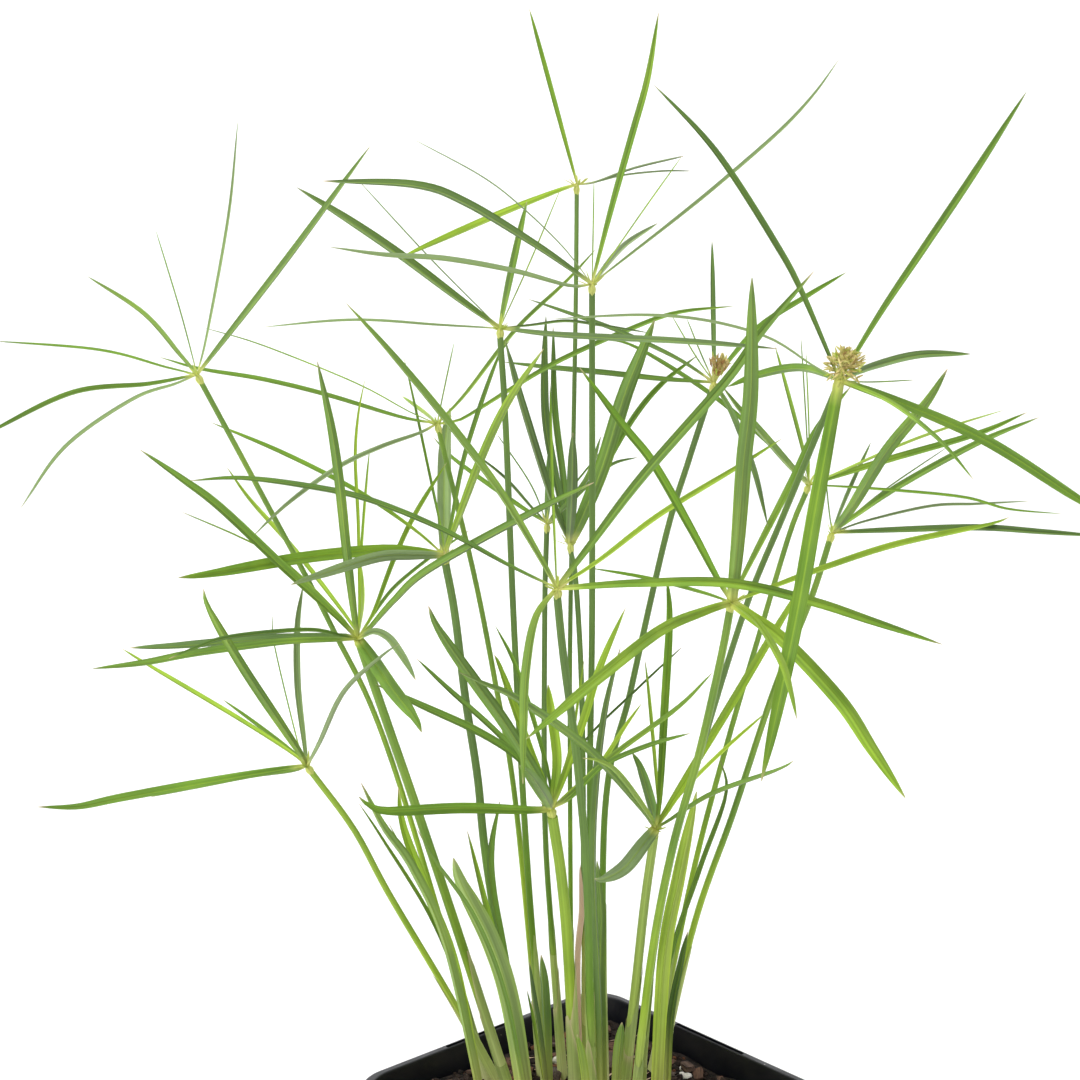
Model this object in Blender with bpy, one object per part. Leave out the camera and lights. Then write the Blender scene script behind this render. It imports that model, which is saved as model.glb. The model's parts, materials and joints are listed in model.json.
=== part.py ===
"""Potted umbrella sedge in a square nursery pot.

Metres, +Z up. The origin is the middle of the pot's underside, and -Y is the
side that the plant is seen from. The stems and leaves are placed by sight: a
point is given by where it is seen in the 1080 pixel picture and by its depth,
in millimetres behind the pot's middle plane.
"""
import math
from collections import namedtuple

import bmesh
import bpy
from mathutils import Matrix, Vector
from mathutils import noise

MM = 0.001

# Pot: an 11 cm square nursery pot, seen almost on its corner
POT_SIDE = 110.0 * MM
POT_FOOT_SIDE = 84.0 * MM
POT_HEIGHT = 100.0 * MM
POT_WALL = 1.4 * MM
POT_FLOOR = 1.8 * MM
POT_CORNER = 13.0 * MM
CORNER_SHRINK = 0.2
FOOT_EDGE = 1.0 * MM
RIM_EDGE = 0.6 * MM
POT_TURN = math.radians(42.0)
RIM_BAND = 9.0 * MM
RIM_STEP = 1.6 * MM
RIM_LEDGE = 2.6 * MM
LEDGE_DROP = 2.0 * MM
CORNER_STEPS = 4
SLOT_LENGTH = 30.0 * MM
SLOT_WIDTH = 1.0 * MM
SLOT_DEPTH = 4.0 * MM
SLOT_INSET = 1.5 * MM
DRAIN_RADIUS = 4.0 * MM
DRAIN_REACH = 26.0 * MM
DRAIN_SIDES = 10

# Soil: filled to a little under the rim
SOIL_BELOW_RIM = 8.0 * MM
SOIL_TOP = POT_HEIGHT - SOIL_BELOW_RIM
SOIL_LUMP = 1.5 * MM
SOIL_GRAIN = 140.0
SOIL_EDGE = 2.0 * MM
SOIL_RINGS = (1.0, 0.93, 0.84, 0.73, 0.6, 0.45, 0.28, 0.12)
CLUMP_RADIUS = 40.0 * MM
GAP = 0.3 * MM

# The eye that the pixel places belong to
EYE = Vector((-16.3, -580.0, 395.0)) * MM
TILT = math.radians(11.6)
FOCAL_PX = 2000.0
MIDDLE_PX = 540.0
FORWARD = Vector((0.0, math.cos(TILT), -math.sin(TILT)))
UPWARD = Vector((0.0, math.sin(TILT), math.cos(TILT)))

# Leaves: sections along a leaf as (place along it, share of its full width)
LEAF_SECTIONS = ((0.0, 0.42), (0.14, 0.78), (0.4, 1.0), (0.7, 0.8), (0.9, 0.42))
BLADE_SECTIONS = ((0.0, 0.8), (0.3, 0.95), (0.6, 1.0), (0.85, 0.6))
HAIR_PX = 2.9
KEEL = 0.22
KEEL_LEAST = 0.5 * MM
LEAF_LEAST = 0.5 * MM
BLADE_LEAST = 0.6 * MM
ARCH = 1.35
TURN_SHARE = 1.3
BROAD_PX = 9.5

# Stems: five-sided, with a sheath round the foot
STEM_SIDES = 5
STEM_SECTIONS = (
    (0.0, 1.5), (0.07, 1.45), (0.16, 1.3), (0.2, 1.0), (0.45, 1.0), (0.7, 1.0), (1.0, 0.9))
HUB_SECTIONS = ((0.0, 0.8), (0.3, 1.1), (0.7, 1.1), (1.0, 0.6))
HUB_RADIUS = 1.7 * MM
HUB_HEIGHT = 5.0 * MM
HUB_SIDES = 7
ROOT_RISE = 1.1 * MM
HEAD_DENT_EACH = 3
HEAD_DENT = 0.72
NECK_SECTIONS = ((0.0, 0.7), (1.0, 0.7))

# Shoots: a short pointed sheath, and blades that leave it near its foot
SHEATH_SECTIONS = ((0.0, 1.0), (0.5, 0.9), (1.0, 0.3))
SHEATH_RISE = 4.0
BLADE_ROOT = 1.2

POT_COLOUR = (0.012, 0.013, 0.015)
SOIL_COLOUR = (0.035, 0.022, 0.015)
STEM_COLOUR = (0.16, 0.30, 0.05)
LEAF_COLOUR = (0.13, 0.28, 0.04)
DRY_COLOUR = (0.45, 0.28, 0.17)

# An umbel is a stem with its whorl of leaves. hub: where the leaves meet, in
# pixels, depth: of the hub, width: of the stem in pixels, foot: pixel column
# and depth on the soil, way: stem pixels from the hub down, head: flower head
# as pixel place and radius, leaves: width in pixels, depth of the tip from
# the hub, and pixel places from the tip to the hub.
Umbel = namedtuple("Umbel", "hub depth width foot way head leaves")

UMBELS = (
    Umbel((199, 378), 0, 6, (487, 22), ((259, 489), (332, 627), (392, 761)), None, (
        (7, -30, ((371, 145), (285, 262))),
        (3, 50, ((238, 120), (229, 213), (208, 330))),
        (1.5, 40, ((156, 231), (180, 310))),
        (5, 62, ((87, 276), (143, 313), (180, 355))),
        (3, 58, ((-5, 341), (99, 350), (165, 367))),
        (5, -52, ((-30, 445), (0, 427), (75, 392), (149, 384))),
        (4, -60, ((20, 509), (66, 446), (133, 399), (175, 384))))),
    Umbel((500, 332), 8, 7, (547, 12), ((506, 429), (515, 644), (529, 886)), None, (
        (9, -30, ((296, 187), (353, 223), (404, 258), (460, 300))),
        (3, 48, ((263, 327), (353, 320), (440, 325))),
        (1.5, 60, ((359, 181), (430, 258))),
        (7, 40, ((527, 201), (512, 270))),
        (1.5, 60, ((560, 190), (530, 262))),
        (7, -50, ((779, 349), (744, 346), (676, 341), (560, 335))),
        (3, 22, ((650, 333), (599, 325), (566, 321), (532, 325))))),
    Umbel((592, 288), -5, 7, (596, 10), ((592, 346), (592, 613), (590, 820)), None, (
        (8, -30, ((321, 181), (415, 185), (466, 203), (534, 244), (575, 272))),
        (6, -50, ((329, 247), (384, 255), (445, 259), (513, 271), (570, 286))),
        (1.5, 30, ((415, 140), (483, 177), (524, 209), (564, 248))),
        (7, 25, ((659, 11), (648, 78), (633, 133), (613, 204))),
        (1.5, 40, ((682, 156), (640, 215))),
        (1.5, 60, ((594, 181), (593, 240))),
        (6, 66, ((658, 223), (623, 247))),
        (5, 20, ((840, 58), (815, 93), (783, 128), (732, 173), (681, 215))))),
    Umbel((713, 386), 25, 7, (604, 20), ((689, 460), (666, 536), (631, 690), (605, 813)),
          ((721, 363), 10), (
        (5, 58, ((712, 240), (713, 320))),
        (6, 50, ((503, 362), (544, 367), (605, 373), (660, 379))),
        (5, 12, ((528, 299), (568, 313), (618, 331), (676, 358))),
        (6, 45, ((847, 272), (806, 297), (761, 326), (729, 361))),
        (7, -60, ((768, 527), (762, 503), (754, 472), (741, 436), (729, 408))),
        (1.5, 50, ((672, 316), (695, 355))),
        (1.5, 45, ((687, 319), (702, 356))))),
    Umbel((838, 384), -60, 7, (640, 8),
          ((818, 432), (781, 521), (751, 593), (724, 674), (697, 765), (672, 855), (652, 965)),
          ((847, 362), 17), (
        (8, 25, ((653, 84), (701, 134), (732, 175), (773, 240), (799, 287))),
        (6, 20, ((1027, 91), (974, 174), (923, 250), (882, 311))),
        (8, 66, ((971, 354), (920, 355), (875, 366))),
        (11, -30, ((1120, 522), (1080, 500), (985, 440), (894, 400))),
        (5, -50, ((974, 480), (938, 439), (890, 402))),
        (1.5, 50, ((914, 380), (870, 382))),
        (3, 46, ((551, 319), (643, 315), (709, 321), (769, 338), (812, 365))),
        (8, 70, ((727, 387), (758, 375), (800, 368))),
        (16, -45, ((761, 783), (778, 706), (800, 598), (816, 506), (830, 430))))),
    Umbel((808, 488), 35, 6, (652, 26), ((790, 533), (759, 636), (728, 741), (693, 874)), None, (
        (4, 50, ((775, 346), (783, 375), (803, 451))),
        (1.5, 50, ((801, 338), (806, 420))),
        (1.5, 40, ((806, 352), (809, 430))),
        (8, -50, ((722, 386), (741, 411), (757, 428), (790, 466))),
        (5, 38, ((600, 339), (635, 347), (706, 391), (757, 433))),
        (7, 30, ((1028, 412), (978, 434), (892, 459), (840, 475))),
        (3, -40, ((1004, 410), (947, 428), (901, 445), (840, 472))),
        (3, -46, ((1063, 514), (1008, 509), (962, 497), (878, 489))))),
    Umbel((438, 427), 30, 6, (541, 26), ((447, 465), (474, 575), (495, 682), (516, 808)), None, (
        (5, 20, ((159, 357), (200, 369), (260, 379), (323, 394), (400, 417))),
        (5, 40, ((596, 249), (566, 282), (516, 330), (465, 395))),
        (5, -50, ((252, 537), (290, 502), (339, 467), (381, 447), (420, 433))),
        (1.5, 40, ((454, 343), (444, 390))),
        (1.5, 34, ((205, 328), (262, 345), (356, 383), (410, 412))),
        (4, 60, ((402, 396), (422, 411))),
        (5, 25, ((735, 306), (676, 313), (626, 331), (559, 361), (508, 391), (460, 420))))),
    Umbel((731, 606), -55, 9, (632, -12), ((721, 659), (699, 755), (672, 851), (650, 969)), None, (
        (16, -30, ((752, 276), (751, 389), (744, 460), (738, 540))),
        (9, 40, ((579, 367), (623, 426), (653, 464), (692, 532), (715, 575))),
        (7, 50, ((852, 385), (818, 428), (793, 480), (768, 529), (742, 580))),
        (7, 35, ((1010, 517), (987, 525), (895, 545), (816, 571), (765, 590))),
        (4, 60, ((590, 568), (646, 578), (700, 592))),
        (12, -55, ((525, 740), (556, 714), (600, 677), (661, 630), (705, 611))),
        (15, -55, ((906, 799), (872, 749), (840, 701), (784, 641), (752, 617))),
        (7, -68, ((797, 720), (790, 690), (780, 660), (757, 622))))),
    Umbel((831, 536), 0, 7, (655, 12), ((811, 598), (774, 690), (733, 813), (693, 928)), None, (
        (12, -55, ((948, 368), (926, 403), (886, 452), (850, 510))),
        (4, 64, ((871, 442), (849, 491))),
        (7, 50, ((1040, 417), (978, 443), (901, 485), (855, 516))),
        (1.5, 40, ((946, 448), (886, 489))),
        (3, 60, ((1030, 501), (978, 504), (932, 506), (870, 520))),
        (7, -30, ((1110, 537), (1039, 532), (978, 528), (900, 530))),
        (1.5, 40, ((826, 480), (829, 510))))),
    Umbel((547, 527), 40, 6, (563, 24), ((545, 613), (545, 813), (552, 935)), None, (
        (5, 50, ((433, 437), (455, 460), (512, 501))),
        (3, -40, ((470, 450), (504, 477), (532, 508))),
        (1.5, 30, ((497, 434), (530, 483))),
        (7, 45, ((550, 444), (549, 490))),
        (4, 15, ((638, 457), (608, 467), (568, 505))),
        (2, 40, ((609, 442), (566, 495))),
        (6, -35, ((601, 436), (587, 479), (560, 512))))),
    Umbel((570, 547), 32, 6, (586, 22), ((576, 582), (582, 698), (584, 900)), None, (
        (8, -30, ((505, 340), (508, 352), (522, 404), (552, 500))),
        (8, 20, ((546, 315), (544, 365), (546, 426), (560, 500))),
        (7, 44, ((553, 325), (554, 405), (563, 480))),
        (15, -30, ((573, 432), (572, 495))),
        (16, -12, ((655, 319), (640, 356), (624, 397), (603, 465), (583, 515))),
        (6, 20, ((698, 355), (660, 386), (630, 424), (599, 480))))),
    Umbel((557, 592), -50, 9, (592, -10), ((564, 659), (578, 767), (588, 900)), None, (
        (10, -10, ((815, 270), (760, 334), (726, 381), (642, 477), (590, 545))),
        (9, -25, ((345, 302), (389, 351), (447, 421), (500, 492), (540, 558))),
        (6, 45, ((187, 481), (240, 478), (306, 486), (366, 499), (439, 528), (510, 566))),
        (9, -58, ((523, 785), (524, 732), (526, 674), (536, 618))),
        (10, -20, ((944, 645), (872, 621), (811, 601), (730, 583), (638, 583))),
        (6, 45, ((783, 438), (738, 467), (661, 514), (600, 560))),
        (3, 55, ((550, 382), (552, 480))))),
    Umbel((445, 559), 5, 9, (523, 14), ((455, 613), (466, 700), (478, 778), (488, 870)), None, (
        (14, 60, ((450, 407), (445, 446), (444, 510))),
        (12, -35, ((177, 578), (215, 573), (301, 558), (378, 550), (415, 551))),
        (11, -58, ((290, 585), (316, 576), (378, 557), (415, 555))),
        (5, 22, ((510, 340), (496, 363), (466, 452), (452, 520))),
        (8, -40, ((544, 348), (506, 406), (480, 462), (458, 520))),
        (3, 50, ((404, 358), (412, 393), (432, 487), (441, 530))),
        (5, 20, ((210, 422), (285, 454), (357, 491), (412, 528))))),
    Umbel((359, 642), -15, 10, (517, -2), ((388, 726), (417, 810), (461, 942)), None, (
        (10, -25, ((317, 360), (331, 426), (339, 480), (346, 545), (354, 612))),
        (3.5, 40, ((365, 379), (358, 415), (355, 458), (358, 523), (359, 600))),
        (3, 50, ((370, 446), (366, 489), (361, 560), (360, 612))),
        (4, 55, ((362, 567), (363, 600))),
        (5, 35, ((447, 462), (415, 515), (394, 560), (374, 612))),
        (4, 55, ((470, 530), (430, 558), (394, 588), (370, 620))),
        (8, -30, ((595, 482), (530, 514), (430, 569), (394, 601), (370, 628))),
        (9, -15, ((139, 449), (183, 480), (220, 508), (285, 569), (335, 615))),
        (5, 45, ((226, 466), (250, 500), (296, 552), (350, 622))),
        (8, 40, ((128, 648), (177, 646), (264, 639), (339, 636))),
        (8, -30, ((91, 669), (144, 663), (198, 653), (285, 642), (340, 640))),
        (5, -50, ((168, 659), (198, 647), (231, 637), (307, 630), (343, 636))),
        (15, -66, ((422, 733), (414, 717), (390, 686), (370, 656))),
        (8, -42, ((416, 681), (409, 668), (399, 652), (388, 638), (374, 632))),
        (2, 40, ((182, 512), (242, 538), (285, 562), (340, 615))))),
    Umbel((309, 769), -10, 7, (507, 8), ((354, 830), (390, 896), (456, 1007)), None, (
        (9, -15, ((36, 807), (77, 807), (122, 798), (226, 779), (285, 769))),
        (5, 40, ((150, 797), (197, 787), (252, 776), (292, 771))),
        (5, 35, ((121, 648), (148, 665), (239, 719), (290, 752))),
        (4, 50, ((222, 699), (252, 721), (290, 750))),
        (10, -35, ((203, 588), (210, 611), (244, 669), (284, 729), (300, 753))),
        (7, 50, ((303, 585), (297, 625), (297, 685), (304, 745))),
        (1.5, 40, ((272, 614), (275, 648), (299, 747))),
        (5, -42, ((401, 643), (382, 656), (344, 692), (320, 742))))),
    Umbel((552, 812), -25, 12, (577, -4), ((562, 880), (569, 960)), None, (
        (11, -20, ((358, 796), (369, 805), (390, 811), (462, 808), (530, 810))),
        (13, -25, ((428, 605), (439, 630), (473, 679), (506, 725), (541, 782))),
        (6, 30, ((416, 658), (446, 687), (502, 738), (541, 785))),
        (8, -10, ((375, 684), (422, 706), (478, 732), (519, 759), (542, 792))),
        (8, 28, ((494, 654), (502, 673), (529, 749), (546, 790))),
        (5, 30, ((495, 625), (517, 670), (541, 746), (550, 785))),
        (10, 18, ((548, 684), (551, 710), (557, 757), (554, 792))),
        (13, -46, ((519, 765), (530, 775), (544, 795))),
        (3, 30, ((584, 660), (572, 741), (559, 785))),
        (8, 25, ((626, 607), (601, 666), (584, 720), (561, 785))),
        (6, 10, ((713, 672), (679, 707), (614, 755), (570, 795))),
        (5, -5, ((691, 733), (647, 746), (603, 766), (572, 797))),
        (2.5, 40, ((682, 647), (636, 690), (584, 742), (560, 792))),
        (5, 45, ((642, 703), (625, 727), (600, 765), (565, 797))))),
    Umbel((655, 832), -20, 10, (622, 2), ((645, 903), (636, 985)), None, (
        (9, -60, ((458, 672), (485, 684), (519, 700), (588, 749), (640, 806))),
        (15, -48, ((594, 879), (604, 879), (625, 867), (645, 842))),
        (9, 40, ((632, 752), (641, 770), (652, 808))),
        (4, 20, ((645, 660), (649, 699), (655, 766), (658, 805))),
        (8, 15, ((667, 577), (670, 620), (665, 712), (660, 800))),
        (9, 20, ((812, 570), (768, 644), (722, 721), (667, 810))),
        (5, -35, ((795, 760), (777, 770), (712, 794), (670, 820))),
        (4, 35, ((769, 710), (723, 751), (684, 790), (666, 815))),
        (5, -38, ((582, 758), (599, 761), (618, 773), (647, 812))))),
    Umbel((577, 188), 62, 5, (572, 38), ((576, 300), (573, 480), (570, 700)), None, (
        (5, 15, ((529, 8), (542, 57), (567, 149))),
        (7, -30, ((400, 258), (440, 240), (500, 214), (555, 192))),
        (2.5, -15, ((684, 156), (634, 168), (595, 182))),
        (2, 25, ((691, 171), (663, 171), (624, 175), (595, 182))))),
)

# A shoot is a tuft of leaf blades that rises from the soil. foot: pixel
# column and depth on the soil, width: of its foot in pixels, blades: as the
# leaves of an umbel, with the tip's depth from the foot's.
Shoot = namedtuple("Shoot", "foot width blades")

SHOOTS = (
    Shoot((484, -6), 14, (
        (9, -18, ((360, 781), (383, 826), (413, 869), (448, 950))),
        (10, 6, ((398, 786), (404, 829), (429, 896), (456, 970))),
        (4, -4, ((358, 802), (383, 840), (431, 918), (458, 990))),
        (3, -10, ((387, 820), (428, 900), (460, 980))))),
    Shoot((530, -15), 16, (
        (16, -12, ((453, 857), (462, 885), (491, 942), (511, 1007))),
        (5, -24, ((416, 827), (436, 862), (475, 919), (506, 1000))),
        (7, 4, ((467, 830), (484, 899), (500, 960), (516, 1030))),
        (9, 12, ((500, 800), (491, 846), (492, 890), (506, 970))))),
    Shoot((549, -3), 10, (
        (9, -4, ((541, 954), (545, 1000))),
        (5, -12, ((529, 961), (533, 990), (541, 1040))),
        (3, 8, ((527, 990), (535, 1030))))),
    Shoot((603, -1), 11, (
        (11, -4, ((597, 860), (601, 915), (600, 984))),
        (8, -16, ((621, 645), (605, 712), (595, 798), (593, 880), (598, 980))))),
    Shoot((655, -6), 14, (
        (14, -14, ((697, 790), (679, 876), (664, 960))),
        (5, 8, ((720, 758), (726, 795), (699, 872), (667, 975))))),
    Shoot((667, 1), 9, (
        (8, 4, ((688, 931), (681, 965), (671, 1020))),)),
    Shoot((592, -21), 9, (
        (8, -2, ((577, 1034), (583, 1065))),)),
    Shoot((615, -9), 10, (
        (9, -2, ((622, 1022), (618, 1060))),)),
)

DRY_LEAF = Shoot((581, 17), 8, (
    (6, 8, ((580, 864), (582, 910), (578, 965))),))


def clear_scene():
    """Remove every object that the file starts with."""
    for thing in list(bpy.data.objects):
        bpy.data.objects.remove(thing, do_unlink=True)


def make_material(name, colour, roughness):
    """Return a plain Principled material."""
    material = bpy.data.materials.new(name)
    material.use_nodes = True
    shader = material.node_tree.nodes["Principled BSDF"]
    shader.inputs["Base Color"].default_value = (*colour, 1.0)
    shader.inputs["Roughness"].default_value = roughness
    return material


def add_object(name, mesh_data, material):
    """Put a bmesh into a named object at the origin."""
    mesh = bpy.data.meshes.new(name)
    bmesh.ops.recalc_face_normals(mesh_data, faces=mesh_data.faces)
    mesh_data.to_mesh(mesh)
    mesh_data.free()
    thing = bpy.data.objects.new(name, mesh)
    bpy.context.scene.collection.objects.link(thing)
    mesh.materials.append(material)
    return thing


def hide_tool(thing):
    """Mark an object as a tool of a modifier, not as a piece."""
    thing.hide_render = True
    thing.display_type = "WIRE"


def add_boolean(thing, tool, operation, overlapping=False):
    """Cut or join one object with another."""
    step = thing.modifiers.new(operation.title(), "BOOLEAN")
    step.operation = operation
    step.object = tool
    step.solver = "EXACT"
    step.use_self = overlapping
    hide_tool(tool)


def view_ray(px, py):
    """Return the direction from the eye through a pixel."""
    across = (px - MIDDLE_PX) / FOCAL_PX
    down = (py - MIDDLE_PX) / FOCAL_PX
    return FORWARD + across * Vector((1.0, 0.0, 0.0)) - down * UPWARD


def sight(px, py, depth):
    """Return the point seen at a pixel, at a depth in millimetres."""
    ray = view_ray(px, py)
    return EYE + ray * ((depth * MM - EYE.y) / ray.y)


def on_soil(px, depth):
    """Return the point of the soil seen in a pixel column, at a depth."""
    reach = (depth * MM - EYE.y) * math.cos(TILT) + (EYE.z - SOIL_TOP) * math.sin(TILT)
    return Vector((EYE.x + reach * (px - MIDDLE_PX) / FOCAL_PX, depth * MM, SOIL_TOP))


def pixel_size(point):
    """Return the width of one pixel at a point, in metres."""
    return (point - EYE).dot(FORWARD) / FOCAL_PX


def pixel_place(point):
    """Return the pixel at which a point is seen."""
    ray = point - EYE
    reach = ray.dot(FORWARD)
    return (MIDDLE_PX + FOCAL_PX * ray.x / reach, MIDDLE_PX - FOCAL_PX * ray.dot(UPWARD) / reach)


def smooth_way(points, share):
    """Return the point at a share of the length of a Catmull-Rom curve."""
    lengths = [(b - a).length for a, b in zip(points, points[1:])]
    left = share * sum(lengths)
    spot = 0
    while spot < len(lengths) - 1 and left > lengths[spot]:
        left -= lengths[spot]
        spot += 1
    t = min(left / lengths[spot], 1.0)
    start, end = points[spot], points[spot + 1]
    before = points[spot - 1] if spot > 0 else 2.0 * start - end
    after = points[spot + 2] if spot + 2 < len(points) else 2.0 * end - start
    return 0.5 * (2.0 * start + (end - before) * t
                  + (2.0 * before - 5.0 * start + 4.0 * end - after) * t * t
                  + (3.0 * start - before - 3.0 * end + after) * t ** 3)


def leaf_way(root, root_px, root_depth, tip_depth, places):
    """Return a leaf's points from its root to its tip, arching in depth."""
    pixels = [Vector(root_px)] + [Vector(place) for place in reversed(places)]
    steps = [(b - a).length for a, b in zip(pixels, pixels[1:])]
    points = [root]
    run = 0.0
    for place, step in zip(pixels[1:], steps):
        run += step
        share = 1.0 - (1.0 - run / sum(steps)) ** ARCH
        points.append(sight(place.x, place.y, root_depth + tip_depth * share))
    return points


def leaf_frames(points, width_px, sections):
    """Return each section's point, direction across and direction up.

    A leaf shows its breadth to the eye. One of middling width is wider than
    it looks, and is turned about its length until its face looks further up.
    """
    frames = []
    for share, _ in sections:
        here = smooth_way(points, share)
        along = (smooth_way(points, min(share + 0.02, 1.0)) - here).normalized()
        side = along.cross(here - EYE).normalized()
        if frames and side.dot(frames[-1][1]) < 0.0:
            side = -side
        frames.append((here, side, side.cross(along).normalized(), along))
    flip = -1.0 if sum(upper.z for _, _, upper, _ in frames) < 0.0 else 1.0
    frames = [(here, side * flip, upper * flip, along) for here, side, upper, along in frames]
    if not HAIR_PX < width_px < BROAD_PX:
        return [frame[:3] for frame in frames]
    turn = math.acos(1.0 / TURN_SHARE)
    _, _, upper, along = frames[len(frames) // 2]
    if (Matrix.Rotation(turn, 3, along) @ upper).z < (Matrix.Rotation(-turn, 3, along) @ upper).z:
        turn = -turn
    turned = []
    for here, side, upper, along in frames:
        roll = Matrix.Rotation(turn, 3, along)
        turned.append((here, roll @ side, roll @ upper))
    return turned


def add_leaf(work, points, width_px, sections, least=0.0):
    """Add one leaf: a keeled three-sided blade that ends in a point."""
    across = TURN_SHARE if HAIR_PX < width_px < BROAD_PX else 1.0
    rings = []
    for (here, side, upper), (_, wide) in zip(leaf_frames(points, width_px, sections), sections):
        width = max(width_px * pixel_size(here) * across * wide, least)
        keel = max(KEEL * width, KEEL_LEAST * wide)
        corners = (here + side * width / 2.0 + upper * keel / 2.0,
                   here - side * width / 2.0 + upper * keel / 2.0,
                   here - upper * keel / 2.0)
        rings.append([work.verts.new(corner) for corner in corners])
    tip = work.verts.new(points[-1])
    work.faces.new(rings[0])
    for lower, higher in zip(rings, rings[1:]):
        for i in range(3):
            j = (i + 1) % 3
            work.faces.new((lower[j], lower[i], higher[i], higher[j]))
    for i in range(3):
        work.faces.new((rings[-1][(i + 1) % 3], rings[-1][i], tip))


def add_tube(work, points, sections, radius, sides, level_foot=False):
    """Add a closed tube along points, with its radius in sections."""
    rings = []
    for share, wide in sections:
        here = smooth_way(points, share)
        ahead = smooth_way(points, min(share + 0.02, 1.0))
        behind = smooth_way(points, max(share - 0.02, 0.0))
        along = (ahead - behind).normalized()
        if share == 1.0:
            along = (points[-1] - points[-2]).normalized()
        side = along.cross(Vector((0.0, 1.0, 0.0))).normalized()
        front = side.cross(along).normalized()
        ring = []
        for i in range(sides):
            angle = 2.0 * math.pi * i / sides
            reach = radius * wide
            spot = here + (side * math.cos(angle) + front * math.sin(angle)) * reach
            if level_foot and share == 0.0:
                spot.z = here.z
            ring.append(work.verts.new(spot))
        rings.append(ring)
    work.faces.new(rings[0])
    work.faces.new(list(reversed(rings[-1])))
    for lower, higher in zip(rings, rings[1:]):
        for i in range(sides):
            j = (i + 1) % sides
            work.faces.new((lower[j], lower[i], higher[i], higher[j]))


def stem_points(umbel):
    """Return a stem's points from its foot up to just under its hub."""
    foot = on_soil(*umbel.foot) + Vector((0.0, 0.0, GAP))
    hub = sight(*umbel.hub, umbel.depth)
    places = list(reversed(umbel.way))
    points = [foot]
    for px, py in places:
        rise = (sight(px, py, umbel.depth).z - foot.z) / (hub.z - foot.z)
        depth = umbel.foot[1] + (umbel.depth - umbel.foot[1]) * rise
        points.append(sight(px, py, depth))
    along = (hub - points[-1]).normalized()
    points.append(hub - along * (HUB_HEIGHT / 2.0 + GAP))
    return points, along


def make_stem(name, umbel, material):
    """Make one stem with the sheath round its foot."""
    points, _ = stem_points(umbel)
    work = bmesh.new()
    radius = umbel.width * pixel_size(points[-1]) / 2.0
    add_tube(work, points, STEM_SECTIONS, radius, STEM_SIDES, level_foot=True)
    return add_object(name, work, material)


def make_whorl(name, umbel, material):
    """Make one whorl: a hub, its flower head if it has one, and its leaves."""
    hub = sight(*umbel.hub, umbel.depth)
    _, along = stem_points(umbel)
    work = bmesh.new()
    ends = [hub - along * HUB_HEIGHT / 2.0, hub + along * HUB_HEIGHT / 2.0]
    add_tube(work, ends, HUB_SECTIONS, HUB_RADIUS, HUB_SIDES)
    whorl = add_object(name, work, material)

    work = bmesh.new()
    for width_px, tip_depth, places in umbel.leaves:
        if width_px >= HAIR_PX:
            points = leaf_way(hub + along * ROOT_RISE, umbel.hub, umbel.depth, tip_depth, places)
            add_leaf(work, points, width_px, LEAF_SECTIONS, LEAF_LEAST)
    add_boolean(whorl, add_object(name + "_leaves", work, material), "UNION", True)

    if umbel.head:
        place, radius_px = umbel.head
        middle = sight(*place, umbel.depth)
        work = bmesh.new()
        radius = radius_px * pixel_size(middle)
        bmesh.ops.create_icosphere(work, subdivisions=2, radius=radius,
                                   matrix=Matrix.Translation(middle))
        for i, vert in enumerate(work.verts):
            reach = 1.0 if i % HEAD_DENT_EACH else HEAD_DENT
            vert.co = middle + (vert.co - middle) * reach
        add_tube(work, [hub, middle], NECK_SECTIONS, HUB_RADIUS, HUB_SIDES)
        add_boolean(whorl, add_object(name + "_head", work, material), "UNION", True)
    return whorl


def make_shoot(name, shoot, material):
    """Make one tuft of blades that rises from a short sheath."""
    foot = on_soil(*shoot.foot) + Vector((0.0, 0.0, GAP))
    radius = shoot.width * pixel_size(foot) / 2.0
    work = bmesh.new()
    top = foot + Vector((0.0, 0.0, SHEATH_RISE * radius))
    add_tube(work, [foot, top], SHEATH_SECTIONS, radius, HUB_SIDES)
    tuft = add_object(name, work, material)

    root = foot + Vector((0.0, 0.0, BLADE_ROOT * radius))
    work = bmesh.new()
    for width_px, tip_depth, places in shoot.blades:
        points = leaf_way(root, pixel_place(root), shoot.foot[1], tip_depth, places)
        add_leaf(work, points, width_px, BLADE_SECTIONS, BLADE_LEAST)
    add_boolean(tuft, add_object(name + "_blades", work, material), "UNION", True)
    return tuft


def corner_at(side):
    """Return the corner radius of the pot's form where it has a side."""
    return POT_CORNER - (POT_SIDE - side) * CORNER_SHRINK


def square_ring(side, corner):
    """Return a square with round corners as points round the origin."""
    points = []
    half = side / 2.0 - corner
    for quarter in range(4):
        turn = quarter * math.pi / 2.0
        middle = Vector((half, half, 0.0))
        for step in range(CORNER_STEPS + 1):
            angle = step / CORNER_STEPS * math.pi / 2.0
            spot = middle + corner * Vector((math.cos(angle), math.sin(angle), 0.0))
            points.append(Matrix.Rotation(turn + POT_TURN, 3, "Z") @ spot)
    return points


def loft_rings(work, rings):
    """Join rings of points with faces and close the first and the last."""
    loops = [[work.verts.new(point) for point in ring] for ring in rings]
    work.faces.new(loops[0])
    work.faces.new(list(reversed(loops[-1])))
    count = len(loops[0])
    for lower, higher in zip(loops, loops[1:]):
        for i in range(count):
            j = (i + 1) % count
            work.faces.new((lower[j], lower[i], higher[i], higher[j]))


def pot_side_at(height):
    """Return the outer side of the pot's tapered wall at a height."""
    narrow = POT_SIDE - 2.0 * RIM_STEP
    return POT_FOOT_SIDE + (narrow - POT_FOOT_SIDE) * height / POT_HEIGHT


def raised(ring, height):
    """Lift a ring of points to a height."""
    return [Vector((point.x, point.y, height)) for point in ring]


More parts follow.
